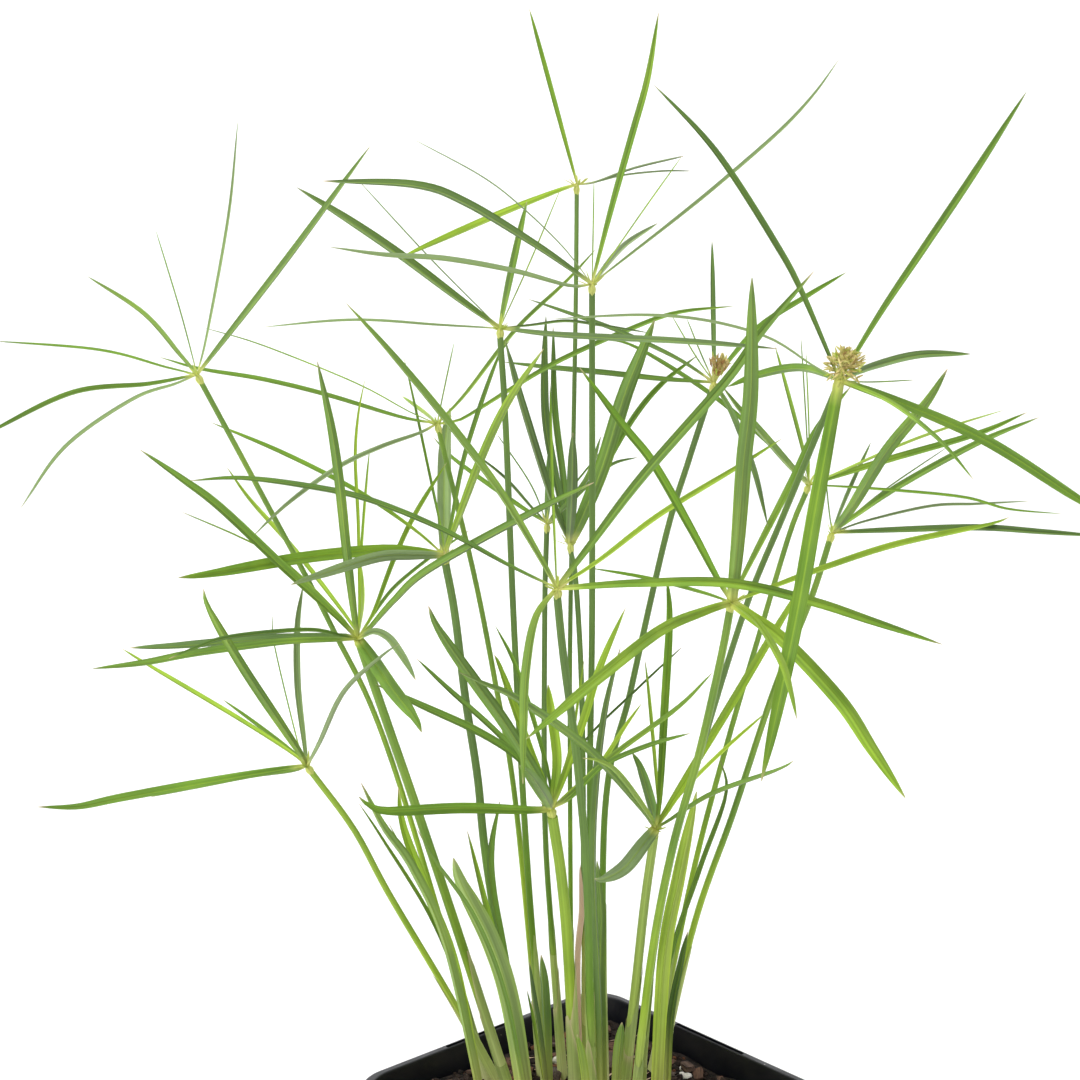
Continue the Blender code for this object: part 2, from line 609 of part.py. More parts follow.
def make_pot(material):
    """Make the pot: tapered walls, a stepped rim with slots, drain holes."""
    band_foot = POT_HEIGHT - RIM_BAND
    inner_foot = POT_FOOT_SIDE - 2.0 * POT_WALL
    inner_top = pot_side_at(band_foot) - 2.0 * POT_WALL
    profile = (
        (POT_FOOT_SIDE - 2.0 * FOOT_EDGE, 0.0),
        (POT_FOOT_SIDE, FOOT_EDGE),
        (pot_side_at(band_foot), band_foot),
        (POT_SIDE - 2.0 * RIM_EDGE, band_foot),
        (POT_SIDE, band_foot + RIM_EDGE),
        (POT_SIDE, POT_HEIGHT - RIM_EDGE),
        (POT_SIDE - 2.0 * RIM_EDGE, POT_HEIGHT),
        (POT_SIDE - 2.0 * RIM_LEDGE, POT_HEIGHT),
        (POT_SIDE - 2.0 * RIM_LEDGE - RIM_EDGE, band_foot - LEDGE_DROP),
        (inner_top - FOOT_EDGE, band_foot - 2.0 * LEDGE_DROP),
        (inner_foot, POT_FLOOR),
    )
    rings = [raised(square_ring(side, corner_at(side)), height) for side, height in profile]
    work = bmesh.new()
    loft_rings(work, rings)
    pot = add_object("pot", work, material)

    work = bmesh.new()
    for i in range(4):
        angle = POT_TURN + math.pi / 4.0 + i * math.pi / 2.0
        spot = Vector((math.cos(angle), math.sin(angle), 0.0)) * DRAIN_REACH
        bmesh.ops.create_cone(work, cap_ends=True, segments=DRAIN_SIDES, radius1=DRAIN_RADIUS,
                              radius2=DRAIN_RADIUS, depth=3.0 * POT_FLOOR,
                              matrix=Matrix.Translation(spot))
    add_boolean(pot, add_object("pot_drains", work, material), "DIFFERENCE")

    work = bmesh.new()
    for i in range(4):
        turn = Matrix.Rotation(POT_TURN + i * math.pi / 2.0, 4, "Z")
        place = Vector((POT_SIDE / 2.0 - SLOT_INSET, 0.0, POT_HEIGHT))
        size = Matrix.Diagonal((SLOT_WIDTH, SLOT_LENGTH, 2.0 * SLOT_DEPTH, 1.0))
        bmesh.ops.create_cube(work, size=1.0, matrix=turn @ Matrix.Translation(place) @ size)
    add_boolean(pot, add_object("pot_slots", work, material), "DIFFERENCE")
    return pot


def soil_lump(spot):
    """Return the height of the soil's lumps, never above it near the stems."""
    lump = noise.noise(spot * SOIL_GRAIN) * SOIL_LUMP
    if spot.length < CLUMP_RADIUS:
        return -abs(lump) / 2.0
    return lump


def make_soil(material):
    """Make the soil: a block that fills the pot, with a lumpy top."""
    band_foot = POT_HEIGHT - RIM_BAND
    foot = POT_FOOT_SIDE - 2.0 * POT_WALL - 2.0 * GAP
    top = pot_side_at(band_foot) - 2.0 * POT_WALL - FOOT_EDGE - 2.0 * GAP
    edge = square_ring(top, corner_at(top))
    rings = [raised(square_ring(foot, corner_at(foot)), POT_FLOOR + GAP),
             raised(edge, band_foot - 2.0 * LEDGE_DROP),
             raised(edge, SOIL_TOP - SOIL_EDGE)]
    for share in SOIL_RINGS:
        ring = []
        for point in square_ring(top * share, corner_at(top) * share):
            ring.append(Vector((point.x, point.y, SOIL_TOP + soil_lump(point))))
        rings.append(ring)
    work = bmesh.new()
    loft_rings(work, rings)
    return add_object("soil", work, material)


def main():
    """Make the whole plant in its pot."""
    clear_scene()
    pot_plastic = make_material("pot_plastic", POT_COLOUR, 0.45)
    potting_soil = make_material("potting_soil", SOIL_COLOUR, 0.95)
    stem_green = make_material("stem_green", STEM_COLOUR, 0.5)
    leaf_green = make_material("leaf_green", LEAF_COLOUR, 0.5)
    dry_straw = make_material("dry_straw", DRY_COLOUR, 0.8)
    make_pot(pot_plastic)
    make_soil(potting_soil)
    for number, umbel in enumerate(UMBELS, 1):
        make_stem(f"stem_{number:02d}", umbel, stem_green)
        make_whorl(f"leaf_whorl_{number:02d}", umbel, leaf_green)
    for number, shoot in enumerate(SHOOTS, 1):
        make_shoot(f"shoot_{number:02d}", shoot, leaf_green)
    make_shoot("dry_leaf", DRY_LEAF, dry_straw)


main()
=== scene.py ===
"""Potted umbrella sedge: the plant, its soil and its pot, dressed on the frame.

Metres, +Z up, the origin in the middle of the pot's underside. The stems and
leaves are placed by sight, as in the frame: a point is given by the pixel of
the 1080 pixel picture where it is seen and by its depth, in millimetres behind
the pot's middle plane.
"""
import json
import math
from collections import namedtuple

import bpy
import numpy as np
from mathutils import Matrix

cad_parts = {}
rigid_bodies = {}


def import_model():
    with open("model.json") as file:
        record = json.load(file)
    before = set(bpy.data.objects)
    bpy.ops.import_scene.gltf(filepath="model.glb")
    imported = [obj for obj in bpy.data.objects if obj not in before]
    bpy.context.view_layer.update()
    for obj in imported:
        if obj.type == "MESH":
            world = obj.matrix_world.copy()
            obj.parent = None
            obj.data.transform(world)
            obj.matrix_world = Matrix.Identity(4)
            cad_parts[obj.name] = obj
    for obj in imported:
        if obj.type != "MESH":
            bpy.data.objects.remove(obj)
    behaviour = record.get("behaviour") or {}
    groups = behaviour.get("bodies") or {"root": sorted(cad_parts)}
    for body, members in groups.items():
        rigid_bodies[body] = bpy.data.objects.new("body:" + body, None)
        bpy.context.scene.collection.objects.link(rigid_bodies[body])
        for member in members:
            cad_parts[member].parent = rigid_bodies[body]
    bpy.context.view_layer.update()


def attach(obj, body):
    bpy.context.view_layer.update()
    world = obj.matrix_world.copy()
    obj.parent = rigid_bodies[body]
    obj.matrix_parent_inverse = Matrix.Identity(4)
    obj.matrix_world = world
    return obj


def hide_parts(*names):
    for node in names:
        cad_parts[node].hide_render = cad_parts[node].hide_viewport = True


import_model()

bl_info = {
    "name": "Potted umbrella sedge",
    "version": (1, 0, 0),
    "blender": (4, 5, 0),
    "location": "View3D > Sidebar > Sedge",
    "description": "Makes an umbrella sedge in a square nursery pot",
    "category": "Add Mesh",
}

MM = 0.001

# The eye that the pixel places belong to
EYE = np.array([-16.3, -580.0, 395.0]) * MM
TILT = math.radians(11.6)
FOCAL_PX = 2000.0
MIDDLE_PX = 540.0
PICTURE_PX = 1080.0
SENSOR = 36.0
RIGHT = np.array([1.0, 0.0, 0.0])
FORWARD = np.array([0.0, math.cos(TILT), -math.sin(TILT)])
UPWARD = np.array([0.0, math.sin(TILT), math.cos(TILT)])

# Pot
POT_TURN = math.radians(42.0)
CORNER_SHRINK = 0.2
CORNER_LEAST = 1.0 * MM
CORNER_STEPS = 14
SLOT_INSET = 0.8 * MM
SLOT_WIDTH = 1.4 * MM
SLOT_HALF = 15.0 * MM
SLOT_STATIONS = np.array([-1.0, -0.5, 0.0, 0.5, 1.0])
SLOT_EDGE = 0.08 * MM
DRAIN_RADIUS = 4.0 * MM
DRAIN_REACH = 26.0 * MM
DRAIN_SIDES = 40

# Soil
CLUMP_RADIUS = 40.0 * MM
SOIL_CLEAR = 0.8 * MM
SOIL_ROWS = 70
SOIL_AROUND = 199
NOISE_CELLS = 64
ROOTED = 3.0 * MM
CRUMBS = 3400
CHIPS = 420
GRAINS = 70
STRAWS = 130

# Leaves and stems
GAP = 0.3 * MM
HAIR_PX = 2.9
BROAD_PX = 9.5
TURN_SHARE = 1.3
ARCH = 1.35
ROOT_RISE = 1.1 * MM
HUB_HEIGHT = 5.0 * MM
LEAF_ROWS = 34
LAST_ROW = 0.996
ROW_CROWD = 1.25
HAIR_ROWS = 20
STEM_ROWS = 64
FOOT_ROWS = 16
STEM_AROUND = 14
SHEATH_ROWS = 12
SHEATH_TOP = 58.0 * MM
SHEATH_GIRTH = 1.1 * MM
SHEATH_RISE = 4.0
BLADE_ROOT = 1.2
BLADE_PALE = 34.0 * MM
LEAF_PALE = 7.0 * MM
STALKS = 7

# Stage: the sweep's profile as way back and height, and each light's place,
# aim, size and power, in metres and watts
SWEEP = ((-2.5, 0.0), (1.2, 0.0), (1.6, 0.03), (1.9, 0.12), (2.1, 0.3), (2.2, 0.6), (2.25, 1.2),
         (2.25, 4.0))
SWEEP_HALF = 4.0
PAPER_WHITE = 0.95
SWEEP_ROWS = 60
LIGHTS = {
    "softbox_left": ((-1.1, -0.9, 1.3), (0.0, 0.0, 0.25), 1.2, 14.0),
    "softbox_right": ((1.2, -0.6, 0.9), (0.0, 0.0, 0.25), 1.2, 4.0),
    "softbox_above": ((0.0, 0.3, 1.7), (0.0, 0.0, 0.2), 1.4, 10.0),
    "backdrop_light": ((0.0, 0.9, 1.5), (0.0, 2.2, 0.7), 1.6, 16.0),
}
DAYLIGHT = 0.6

# What a letter of the looks stands for: age, grey bloom, dryness
LOOKS = {
    "y": (0.05, 0.0, 0.0),
    "l": (0.28, 0.0, 0.0),
    "m": (0.52, 0.05, 0.0),
    "d": (0.82, 0.12, 0.0),
    "b": (0.58, 0.6, 0.0),
    "w": (0.25, 0.3, 0.0),
    "p": (0.05, 0.3, 0.0),
    "o": (0.55, 0.05, 0.05),
    "e": (0.9, 0.35, 0.0),
    "s": (0.5, 0.0, 1.0),
}

# An umbel is a stem with its whorl of leaves.
# hub, depth: where the leaves meet, as a pixel, and its depth
# width: of the stem, in pixels
# foot: pixel column and depth on the soil
# way: pixels of the stem from the hub down
# head: the flower head's pixel, radius in pixels, share of brown and of fan
# looks: a letter for the stem and one for each leaf
# leaves: width in pixels, depth of the tip from the hub, and the pixels from
# the tip to the hub
Umbel = namedtuple("Umbel", "hub depth width foot way head looks leaves")

UMBELS = (
    Umbel((199, 378), 0, 6, (487, 22), ((259, 489), (332, 627), (392, 761)), None, "mmbyomdb", (
        (7, -30, (371, 145), (285, 262)),
        (3, 50, (238, 120), (229, 213), (208, 330)),
        (1.5, 40, (156, 231), (180, 310)),
        (5, 62, (87, 276), (143, 313), (180, 355)),
        (3, 58, (-5, 341), (99, 350), (165, 367)),
        (5, -52, (-30, 445), (0, 427), (75, 392), (149, 384)),
        (4, -60, (20, 509), (66, 446), (133, 399), (175, 384)))),
    Umbel((500, 332), 8, 7, (547, 12), ((506, 429), (515, 644), (529, 886)), None, "dmbbmyed", (
        (9, -30, (296, 187), (353, 223), (404, 258), (460, 300)),
        (3, 48, (263, 327), (353, 320), (440, 325)),
        (1.5, 60, (359, 181), (430, 258)),
        (7, 40, (527, 201), (512, 270)),
        (1.5, 60, (560, 190), (530, 262)),
        (7, -50, (779, 349), (744, 346), (676, 341), (560, 335)),
        (3, 22, (650, 333), (599, 325), (566, 321), (532, 325)))),
    Umbel((592, 288), -5, 7, (596, 10), ((592, 346), (592, 613), (590, 820)), None, "ddbbmyybb", (
        (8, -30, (321, 181), (415, 185), (466, 203), (534, 244), (575, 272)),
        (6, -50, (329, 247), (384, 255), (445, 259), (513, 271), (570, 286)),
        (1.5, 30, (415, 140), (483, 177), (524, 209), (564, 248)),
        (7, 25, (659, 11), (648, 78), (633, 133), (613, 204)),
        (1.5, 40, (682, 156), (640, 215)),
        (1.5, 60, (594, 181), (593, 240)),
        (6, 66, (658, 223), (623, 247)),
        (4, 20, (840, 58), (815, 93), (783, 128), (732, 173), (681, 215)))),
    Umbel((713, 386), 25, 7, (604, 20), ((689, 460), (666, 536), (631, 690), (605, 813)),
          ((720, 361), 13, 0.5, 0.75), "ddddmdyy", (
        (5, 58, (712, 240), (713, 320)),
        (6, 50, (503, 362), (544, 367), (605, 373), (660, 379)),
        (5, 12, (528, 299), (568, 313), (618, 331), (676, 358)),
        (6, 45, (847, 272), (806, 297), (761, 326), (729, 361)),
        (7, -60, (768, 527), (762, 503), (754, 472), (741, 436), (729, 408)),
        (1.5, 50, (672, 316), (695, 355)),
        (1.5, 45, (687, 319), (702, 356)))),
    Umbel((838, 384), -60, 7, (640, 8),
          ((818, 432), (781, 521), (751, 593), (724, 674), (697, 765), (672, 855), (652, 965)),
          ((846, 363), 21, 0.05, 0.2), "ddmdmmybmm", (
        (6.5, 25, (653, 84), (701, 134), (732, 175), (773, 240), (799, 287)),
        (7, 20, (1027, 91), (974, 174), (923, 250), (882, 311)),
        (8, 66, (971, 354), (920, 355), (875, 366)),
        (11, -30, (1120, 522), (1080, 500), (985, 440), (894, 400)),
        (5, -50, (974, 480), (938, 439), (890, 402)),
        (1.5, 50, (914, 380), (870, 382)),
        (3, 46, (551, 319), (643, 315), (709, 321), (769, 338), (812, 365)),
        (8, 70, (727, 387), (758, 375), (800, 368)),
        (16, -45, (761, 783), (778, 706), (800, 598), (816, 506), (830, 430)))),
    Umbel((808, 488), 35, 6, (652, 26), ((790, 533), (759, 636), (728, 741), (693, 874)), None,
          "mlyymmmym", (
        (4, 50, (775, 346), (783, 375), (803, 451)),
        (1.5, 50, (801, 338), (806, 420)),
        (1.5, 40, (806, 352), (809, 430)),
        (8, -50, (722, 386), (741, 411), (757, 428), (790, 466)),
        (5, 38, (600, 339), (635, 347), (706, 391), (757, 433)),
        (7, 30, (1028, 412), (978, 434), (892, 459), (840, 475)),
        (3, -40, (1004, 410), (947, 428), (901, 445), (840, 472)),
        (3, -46, (1063, 514), (1008, 509), (962, 497), (878, 489)))),
    Umbel((438, 427), 30, 6, (541, 26), ((447, 465), (474, 575), (495, 682), (516, 808)), None,
          "mmmbyylm", (
        (5, 20, (159, 357), (200, 369), (260, 379), (323, 394), (400, 417)),
        (5, 40, (596, 249), (566, 282), (516, 330), (465, 395)),
        (5, -50, (252, 537), (290, 502), (339, 467), (381, 447), (420, 433)),
        (1.5, 40, (454, 343), (444, 390)),
        (1.5, 34, (205, 328), (262, 345), (356, 383), (410, 412)),
        (4, 60, (402, 396), (422, 411)),
        (5, 25, (735, 306), (676, 313), (626, 331), (559, 361), (508, 391), (460, 420)))),
    Umbel((731, 606), -55, 9, (632, -12), ((721, 659), (699, 755), (672, 851), (650, 969)), None,
          "mmmmlmmll", (
        (16, -30, (752, 276), (751, 389), (744, 460), (738, 540)),
        (9, 40, (579, 367), (623, 426), (653, 464), (692, 532), (715, 575)),
        (7, 50, (852, 385), (818, 428), (793, 480), (768, 529), (742, 580)),
        (7, 35, (1010, 517), (987, 525), (895, 545), (816, 571), (765, 590)),
        (4, 60, (590, 568), (646, 578), (700, 592)),
        (12, -55, (525, 740), (556, 714), (600, 677), (661, 630), (705, 611)),
        (15, -55, (906, 799), (872, 749), (840, 701), (784, 641), (752, 617)),
        (7, -68, (797, 720), (790, 690), (780, 660), (757, 622)))),
    Umbel((831, 536), 0, 7, (655, 12), ((811, 598), (774, 690), (733, 813), (693, 928)), None,
          "mmdmlbdl", (
        (12, -55, (948, 368), (926, 403), (886, 452), (850, 510)),
        (4, 64, (871, 442), (849, 491)),
        (7, 50, (1040, 417), (978, 443), (901, 485), (855, 516)),
        (1.5, 40, (946, 448), (886, 489)),
        (3, 60, (1030, 501), (978, 504), (932, 506), (870, 520)),
        (7, -30, (1110, 537), (1039, 532), (978, 528), (900, 530)),
        (1.5, 40, (826, 480), (829, 510)))),
    Umbel((547, 527), 40, 6, (563, 24), ((545, 613), (545, 813), (552, 935)), None, "dmdlddlm", (
        (5, 50, (433, 437), (455, 460), (512, 501)),
        (3, -40, (470, 450), (504, 477), (532, 508)),
        (1.5, 30, (497, 434), (530, 483)),
        (7, 45, (550, 444), (549, 490)),
        (4, 15, (638, 457), (608, 467), (568, 505)),
        (2, 40, (609, 442), (566, 495)),
        (6, -35, (601, 436), (587, 479), (560, 512)))),
    Umbel((570, 547), 32, 6, (586, 22), ((576, 582), (582, 698), (584, 900)), None, "dddddmm", (
        (8, -30, (505, 340), (508, 352), (522, 404), (552, 500)),
        (8, 20, (546, 315), (544, 365), (546, 426), (560, 500)),
        (7, 44, (553, 325), (554, 405), (563, 480)),
        (11, -30, (573, 432), (572, 495)),
        (16, -12, (655, 319), (640, 356), (624, 397), (603, 465), (583, 515)),
        (6, 20, (698, 355), (660, 386), (630, 424), (599, 480)))),
    Umbel((557, 592), -50, 9, (592, -10), ((564, 659), (578, 767), (588, 900)), None, "dmmdomlm", (
        (10, -10, (815, 270), (760, 334), (726, 381), (642, 477), (590, 545)),
        (9, -25, (345, 302), (389, 351), (447, 421), (500, 492), (540, 558)),
        (6, 45, (187, 481), (240, 478), (306, 486), (366, 499), (439, 528), (510, 566)),
        (9, -58, (523, 785), (524, 732), (526, 674), (536, 618)),
        (10, -20, (944, 645), (872, 621), (811, 601), (730, 583), (638, 583)),
        (6, 45, (783, 438), (738, 467), (661, 514), (600, 560)),
        (3, 55, (550, 382), (552, 480)))),
    Umbel((445, 559), 5, 9, (523, 14), ((455, 613), (466, 700), (478, 778), (488, 870)), None,
          "dbmbmlmm", (
        (14, 60, (450, 407), (445, 446), (444, 510)),
        (12, -35, (177, 578), (215, 573), (301, 558), (378, 550), (415, 551)),
        (11, -58, (290, 585), (316, 576), (378, 557), (415, 555)),
        (5, 22, (510, 340), (496, 363), (466, 452), (452, 520)),
        (8, -40, (544, 348), (506, 406), (480, 462), (458, 520)),
        (3, 50, (404, 358), (412, 393), (432, 487), (441, 530)),
        (5, 20, (210, 422), (285, 454), (357, 491), (412, 528)))),
    Umbel((359, 642), -15, 10, (517, -2), ((388, 726), (417, 810), (461, 942)), None,
          "mmylymmmmldmdmby", (
        (10, -25, (317, 360), (331, 426), (339, 480), (346, 545), (354, 612)),
        (3.5, 40, (365, 379), (358, 415), (355, 458), (358, 523), (359, 600)),
        (3, 50, (370, 446), (366, 489), (361, 560), (360, 612)),
        (4, 55, (362, 567), (363, 600)),
        (5, 35, (447, 462), (415, 515), (394, 560), (374, 612)),
        (4, 55, (470, 530), (430, 558), (394, 588), (370, 620)),
        (8, -30, (595, 482), (530, 514), (430, 569), (394, 601), (370, 628)),
        (9, -15, (139, 449), (183, 480), (220, 508), (285, 569), (335, 615)),
        (5, 45, (226, 466), (250, 500), (296, 552), (350, 622)),
        (8, 40, (128, 648), (177, 646), (264, 639), (339, 636)),
        (8, -30, (91, 669), (144, 663), (198, 653), (285, 642), (340, 640)),
        (5, -50, (168, 659), (198, 647), (231, 637), (307, 630), (343, 636)),
        (15, -66, (422, 733), (414, 717), (390, 686), (370, 656)),
        (8, -42, (416, 681), (409, 668), (399, 652), (388, 638), (374, 632)),
        (2, 40, (182, 512), (242, 538), (285, 562), (340, 615)))),
    Umbel((309, 769), -10, 7, (507, 8), ((354, 830), (390, 896), (456, 1007)), None, "lmmlmmbyb", (
        (9, -15, (36, 807), (77, 807), (122, 798), (226, 779), (285, 769)),
        (5, 40, (150, 797), (197, 787), (252, 776), (292, 771)),
        (5, 35, (121, 648), (148, 665), (239, 719), (290, 752)),
        (4, 50, (222, 699), (252, 721), (290, 750)),
        (10, -35, (203, 588), (210, 611), (244, 669), (284, 729), (300, 753)),
        (7, 50, (303, 585), (297, 625), (297, 685), (304, 745)),
        (1.5, 40, (272, 614), (275, 648), (299, 747)),
        (5, -42, (401, 643), (382, 656), (344, 692), (320, 742)))),
    Umbel((552, 812), -25, 12, (577, -4), ((562, 880), (569, 960)), None, "lmmmmlmlmllmmmy", (
        (11, -20, (358, 796), (369, 805), (390, 811), (462, 808), (530, 810)),
        (13, -25, (428, 605), (439, 630), (473, 679), (506, 725), (541, 782)),
        (6, 30, (416, 658), (446, 687), (502, 738), (541, 785)),
        (8, -10, (375, 684), (422, 706), (478, 732), (519, 759), (542, 792)),
        (8, 28, (494, 654), (502, 673), (529, 749), (546, 790)),
        (5, 30, (495, 625), (517, 670), (541, 746), (550, 785)),
        (10, 18, (548, 684), (551, 710), (557, 757), (554, 792)),
        (13, -46, (519, 765), (530, 775), (544, 795)),
        (3, 30, (584, 660), (572, 741), (559, 785)),
        (8, 25, (626, 607), (601, 666), (584, 720), (561, 785)),
        (6, 10, (713, 672), (679, 707), (614, 755), (570, 795)),
        (5, -5, (691, 733), (647, 746), (603, 766), (572, 797)),
        (2.5, 40, (682, 647), (636, 690), (584, 742), (560, 792)),
        (5, 45, (642, 703), (625, 727), (600, 765), (565, 797)))),
    Umbel((655, 832), -20, 10, (622, 2), ((645, 903), (636, 985)), None, "pmbdlmlmyl", (
        (9, -60, (458, 672), (485, 684), (519, 700), (588, 749), (640, 806)),
        (15, -48, (594, 879), (604, 879), (625, 867), (645, 842)),
        (9, 40, (632, 752), (641, 770), (652, 808)),
        (4, 20, (645, 660), (649, 699), (655, 766), (658, 805)),
        (8, 15, (667, 577), (670, 620), (665, 712), (660, 800)),
        (9, 20, (812, 570), (768, 644), (722, 721), (667, 810)),
        (5, -35, (795, 760), (777, 770), (712, 794), (670, 820)),
        (4, 35, (769, 710), (723, 751), (684, 790), (666, 815)),
        (5, -38, (582, 758), (599, 761), (618, 773), (647, 812)))),
    Umbel((577, 188), 62, 5, (572, 38), ((576, 300), (573, 480), (570, 700)), None, "dmlbb", (
        (5, 15, (529, 8), (542, 57), (567, 149)),
        (7, -30, (400, 258), (440, 240), (500, 214), (555, 192)),
        (2.5, -15, (684, 156), (634, 168), (595, 182)),
        (2, 25, (691, 171), (663, 171), (624, 175), (595, 182)))),
)

# A shoot is a tuft of blades that rises from the soil.
# foot: pixel column and depth on the soil
# width: of its foot, in pixels
# looks: a letter for each blade
# blades: as the leaves of an umbel, with the tip's depth counted from the foot's
Shoot = namedtuple("Shoot", "foot width looks blades")

SHOOTS = (
    Shoot((484, -6), 14, "mlml", (
        (9, -18, (360, 781), (383, 826), (413, 869), (448, 950)),
        (10, 6, (398, 786), (404, 829), (429, 896), (456, 970)),
        (4, -4, (358, 802), (383, 840), (431, 918), (458, 990)),
        (3, -10, (387, 820), (428, 900), (460, 980)))),
    Shoot((530, -15), 16, "wmlm", (
        (20, -12, (453, 857), (462, 885), (491, 942), (511, 1007)),
        (5, -24, (416, 827), (436, 862), (475, 919), (506, 1000)),
        (7, 4, (467, 830), (484, 899), (500, 960), (516, 1030)),
        (9, 12, (500, 800), (491, 846), (492, 890), (506, 970)))),
    Shoot((549, -3), 10, "mdm", (
        (9, -4, (541, 954), (545, 1000)),
        (5, -12, (529, 961), (533, 990), (541, 1040)),
        (3, 8, (527, 990), (535, 1030)))),
    Shoot((603, -1), 11, "md", (
        (11, -4, (597, 860), (601, 915), (600, 984)),
        (8, -16, (621, 645), (605, 712), (595, 798), (593, 880), (598, 980)))),
    Shoot((655, -6), 14, "ym", (
        (14, -14, (697, 790), (679, 876), (664, 960)),
        (5, 8, (720, 758), (726, 795), (699, 872), (667, 975)))),
    Shoot((667, 1), 9, "d", ((8, 4, (688, 931), (681, 965), (671, 1020)),)),
    Shoot((592, -21), 9, "l", ((8, -2, (577, 1034), (583, 1065)),)),
    Shoot((615, -9), 10, "m", ((9, -2, (622, 1022), (618, 1060)),)),
)

DRY_LEAF = Shoot((581, 17), 8, "s", ((6, 8, (580, 864), (582, 910), (578, 965)),))

POINT_VALUES = ("fold", "age", "bloom", "dry", "foot")

# Points across a leaf, as share of its half width, along the top and back
# along the underside
ACROSS = np.array([-1.0, -0.55, -0.08, 0.0, 0.08, 0.55, 1.0, 0.55, 0.1, 0.0, -0.1, -0.55])
TOP_POINTS = 7

# Shares of a leaf's length at which it is asked which side looks up
UPPER_AT = (0.0, 0.14, 0.4, 0.7, 0.9)


def linear(hex_code):
    """Return an sRGB hex colour as linear light.

    A share c is c / 12.92 up to 0.04045 and ((c + 0.055) / 1.055) ** 2.4 above.
    """
    shares = [int(hex_code[i:i + 2], 16) / 255.0 for i in (1, 3, 5)]
    return tuple(c / 12.92 if c <= 0.04045 else ((c + 0.055) / 1.055) ** 2.4 for c in shares)


def length(name, description, default):
    """Return a property for a length in metres."""
    return bpy.props.FloatProperty(name=name, description=description, default=default, min=0.0,
                                   precision=5, subtype="DISTANCE", unit="LENGTH")


def colour(name, description, hex_code):
    """Return a property for a colour."""
    return bpy.props.FloatVectorProperty(name=name, description=description, size=3, min=0.0,
                                         max=1.0, default=linear(hex_code), subtype="COLOR")


class SedgePotSizes(bpy.types.PropertyGroup):
    """Sizes of the nursery pot and its soil."""

    side: length("Side", "Outer side of the pot's rim", 0.110)
    foot_side: length("Foot side", "Outer side of the pot's underside", 0.084)
    height: length("Height", "Height of the pot", 0.100)
    wall: length("Wall", "Thickness of the pot's wall", 0.0014)
    floor: length("Floor", "Thickness of the pot's floor", 0.0018)
    corner: length("Corner", "Radius of the rim's corners", 0.013)
    rim_band: length("Rim band", "Height of the band under the lip", 0.009)
    rim_step: length("Rim step", "How far the band stands out from the wall", 0.0016)
    rim_ledge: length("Lip", "Width of the flat lip", 0.0026)
    rim_edge: length("Lip edge", "Rounding of the lip's edges", 0.0006)
    slot_depth: length("Slot depth", "Depth of the slots in the lip", 0.004)
    soil_drop: length("Soil below rim", "How far the soil lies under the rim", 0.008)


class SedgePlantSizes(bpy.types.PropertyGroup):
    """Sizes of the leaves, the stems and the litter."""

    leaf_thickness: length("Leaf thickness", "Thickness of a leaf at its keel", 0.00026)
    hub_radius: length("Hub radius", "Radius of the knot where leaves meet", 0.0014)
    chip: length("Bark chip", "Usual length of a bark chip", 0.0052)
    grain: length("Perlite grain", "Usual width of a perlite grain", 0.0017)
    crumb: length("Crumb", "Usual width of a soil crumb", 0.0016)
    spikelet: length("Spikelet", "Length of a flower spikelet", 0.0034)


class SedgeColours(bpy.types.PropertyGroup):
    """Colours of the plant, the pot and the soil."""

    young: colour("Young leaf", "Lime green of the youngest leaves", "#B0CB46")
    fresh: colour("Fresh leaf", "Green of fresh leaves", "#9BBB3A")
    grown: colour("Grown leaf", "Green of grown leaves", "#6E952E")
    old: colour("Old leaf", "Deep green of the oldest leaves", "#4B6C2A")
    bloom: colour("Bloom", "Grey green of waxy undersides", "#94A57C")
    base: colour("Leaf base", "Cream yellow of the leaf bases", "#DEE080")
    sheath: colour("Sheath", "Pale green straw of the sheaths", "#E4E9A6")
    dead: colour("Dead leaf", "Pinkish straw of dead leaf", "#EBC9AE")
    spikelet: colour("Spikelet", "Golden tan of the ripe spikelets", "#E0D08C")
    husk: colour("Husk", "Brown of the old spikelets", "#A0743F")
    pot: colour("Pot", "Black of the moulded pot", "#15161D")
    peat: colour("Peat", "Dark brown of the wet peat", "#15110F")
    bark: colour("Bark", "Orange brown of the bark chips", "#774A2E")
    old_bark: colour("Old bark", "Grey brown of weathered bark", "#5A4B41")
    perlite: colour("Perlite", "White of the perlite", "#E9E5DC")


def unit(vectors):
    """Return vectors at length one."""
    return vectors / np.linalg.norm(vectors, axis=-1, keepdims=True)


def smooth_step(values):
    """Return 3x^2 - 2x^3 of values held between 0 and 1."""
    held = np.clip(values, 0.0, 1.0)
    return held * held * (3.0 - 2.0 * held)


def sight(px, py, depth):
    """Return the points seen at pixels, at depths in millimetres."""
    across = (np.asarray(px, float) - MIDDLE_PX) / FOCAL_PX
    down = (np.asarray(py, float) - MIDDLE_PX) / FOCAL_PX
    ray = FORWARD + across[..., None] * RIGHT - down[..., None] * UPWARD
    return EYE + ray * ((np.asarray(depth, float) * MM - EYE[1]) / ray[..., 1])[..., None]


def pixel_size(points):
    """Return the width of one pixel at points, in metres."""
    return (points - EYE) @ FORWARD / FOCAL_PX


def pixel_place(point):
    """Return the pixel at which a point is seen."""
    ray = point - EYE
    reach = ray @ FORWARD
    return np.array([MIDDLE_PX + FOCAL_PX * ray[0] / reach,
                     MIDDLE_PX - FOCAL_PX * (ray @ UPWARD) / reach])


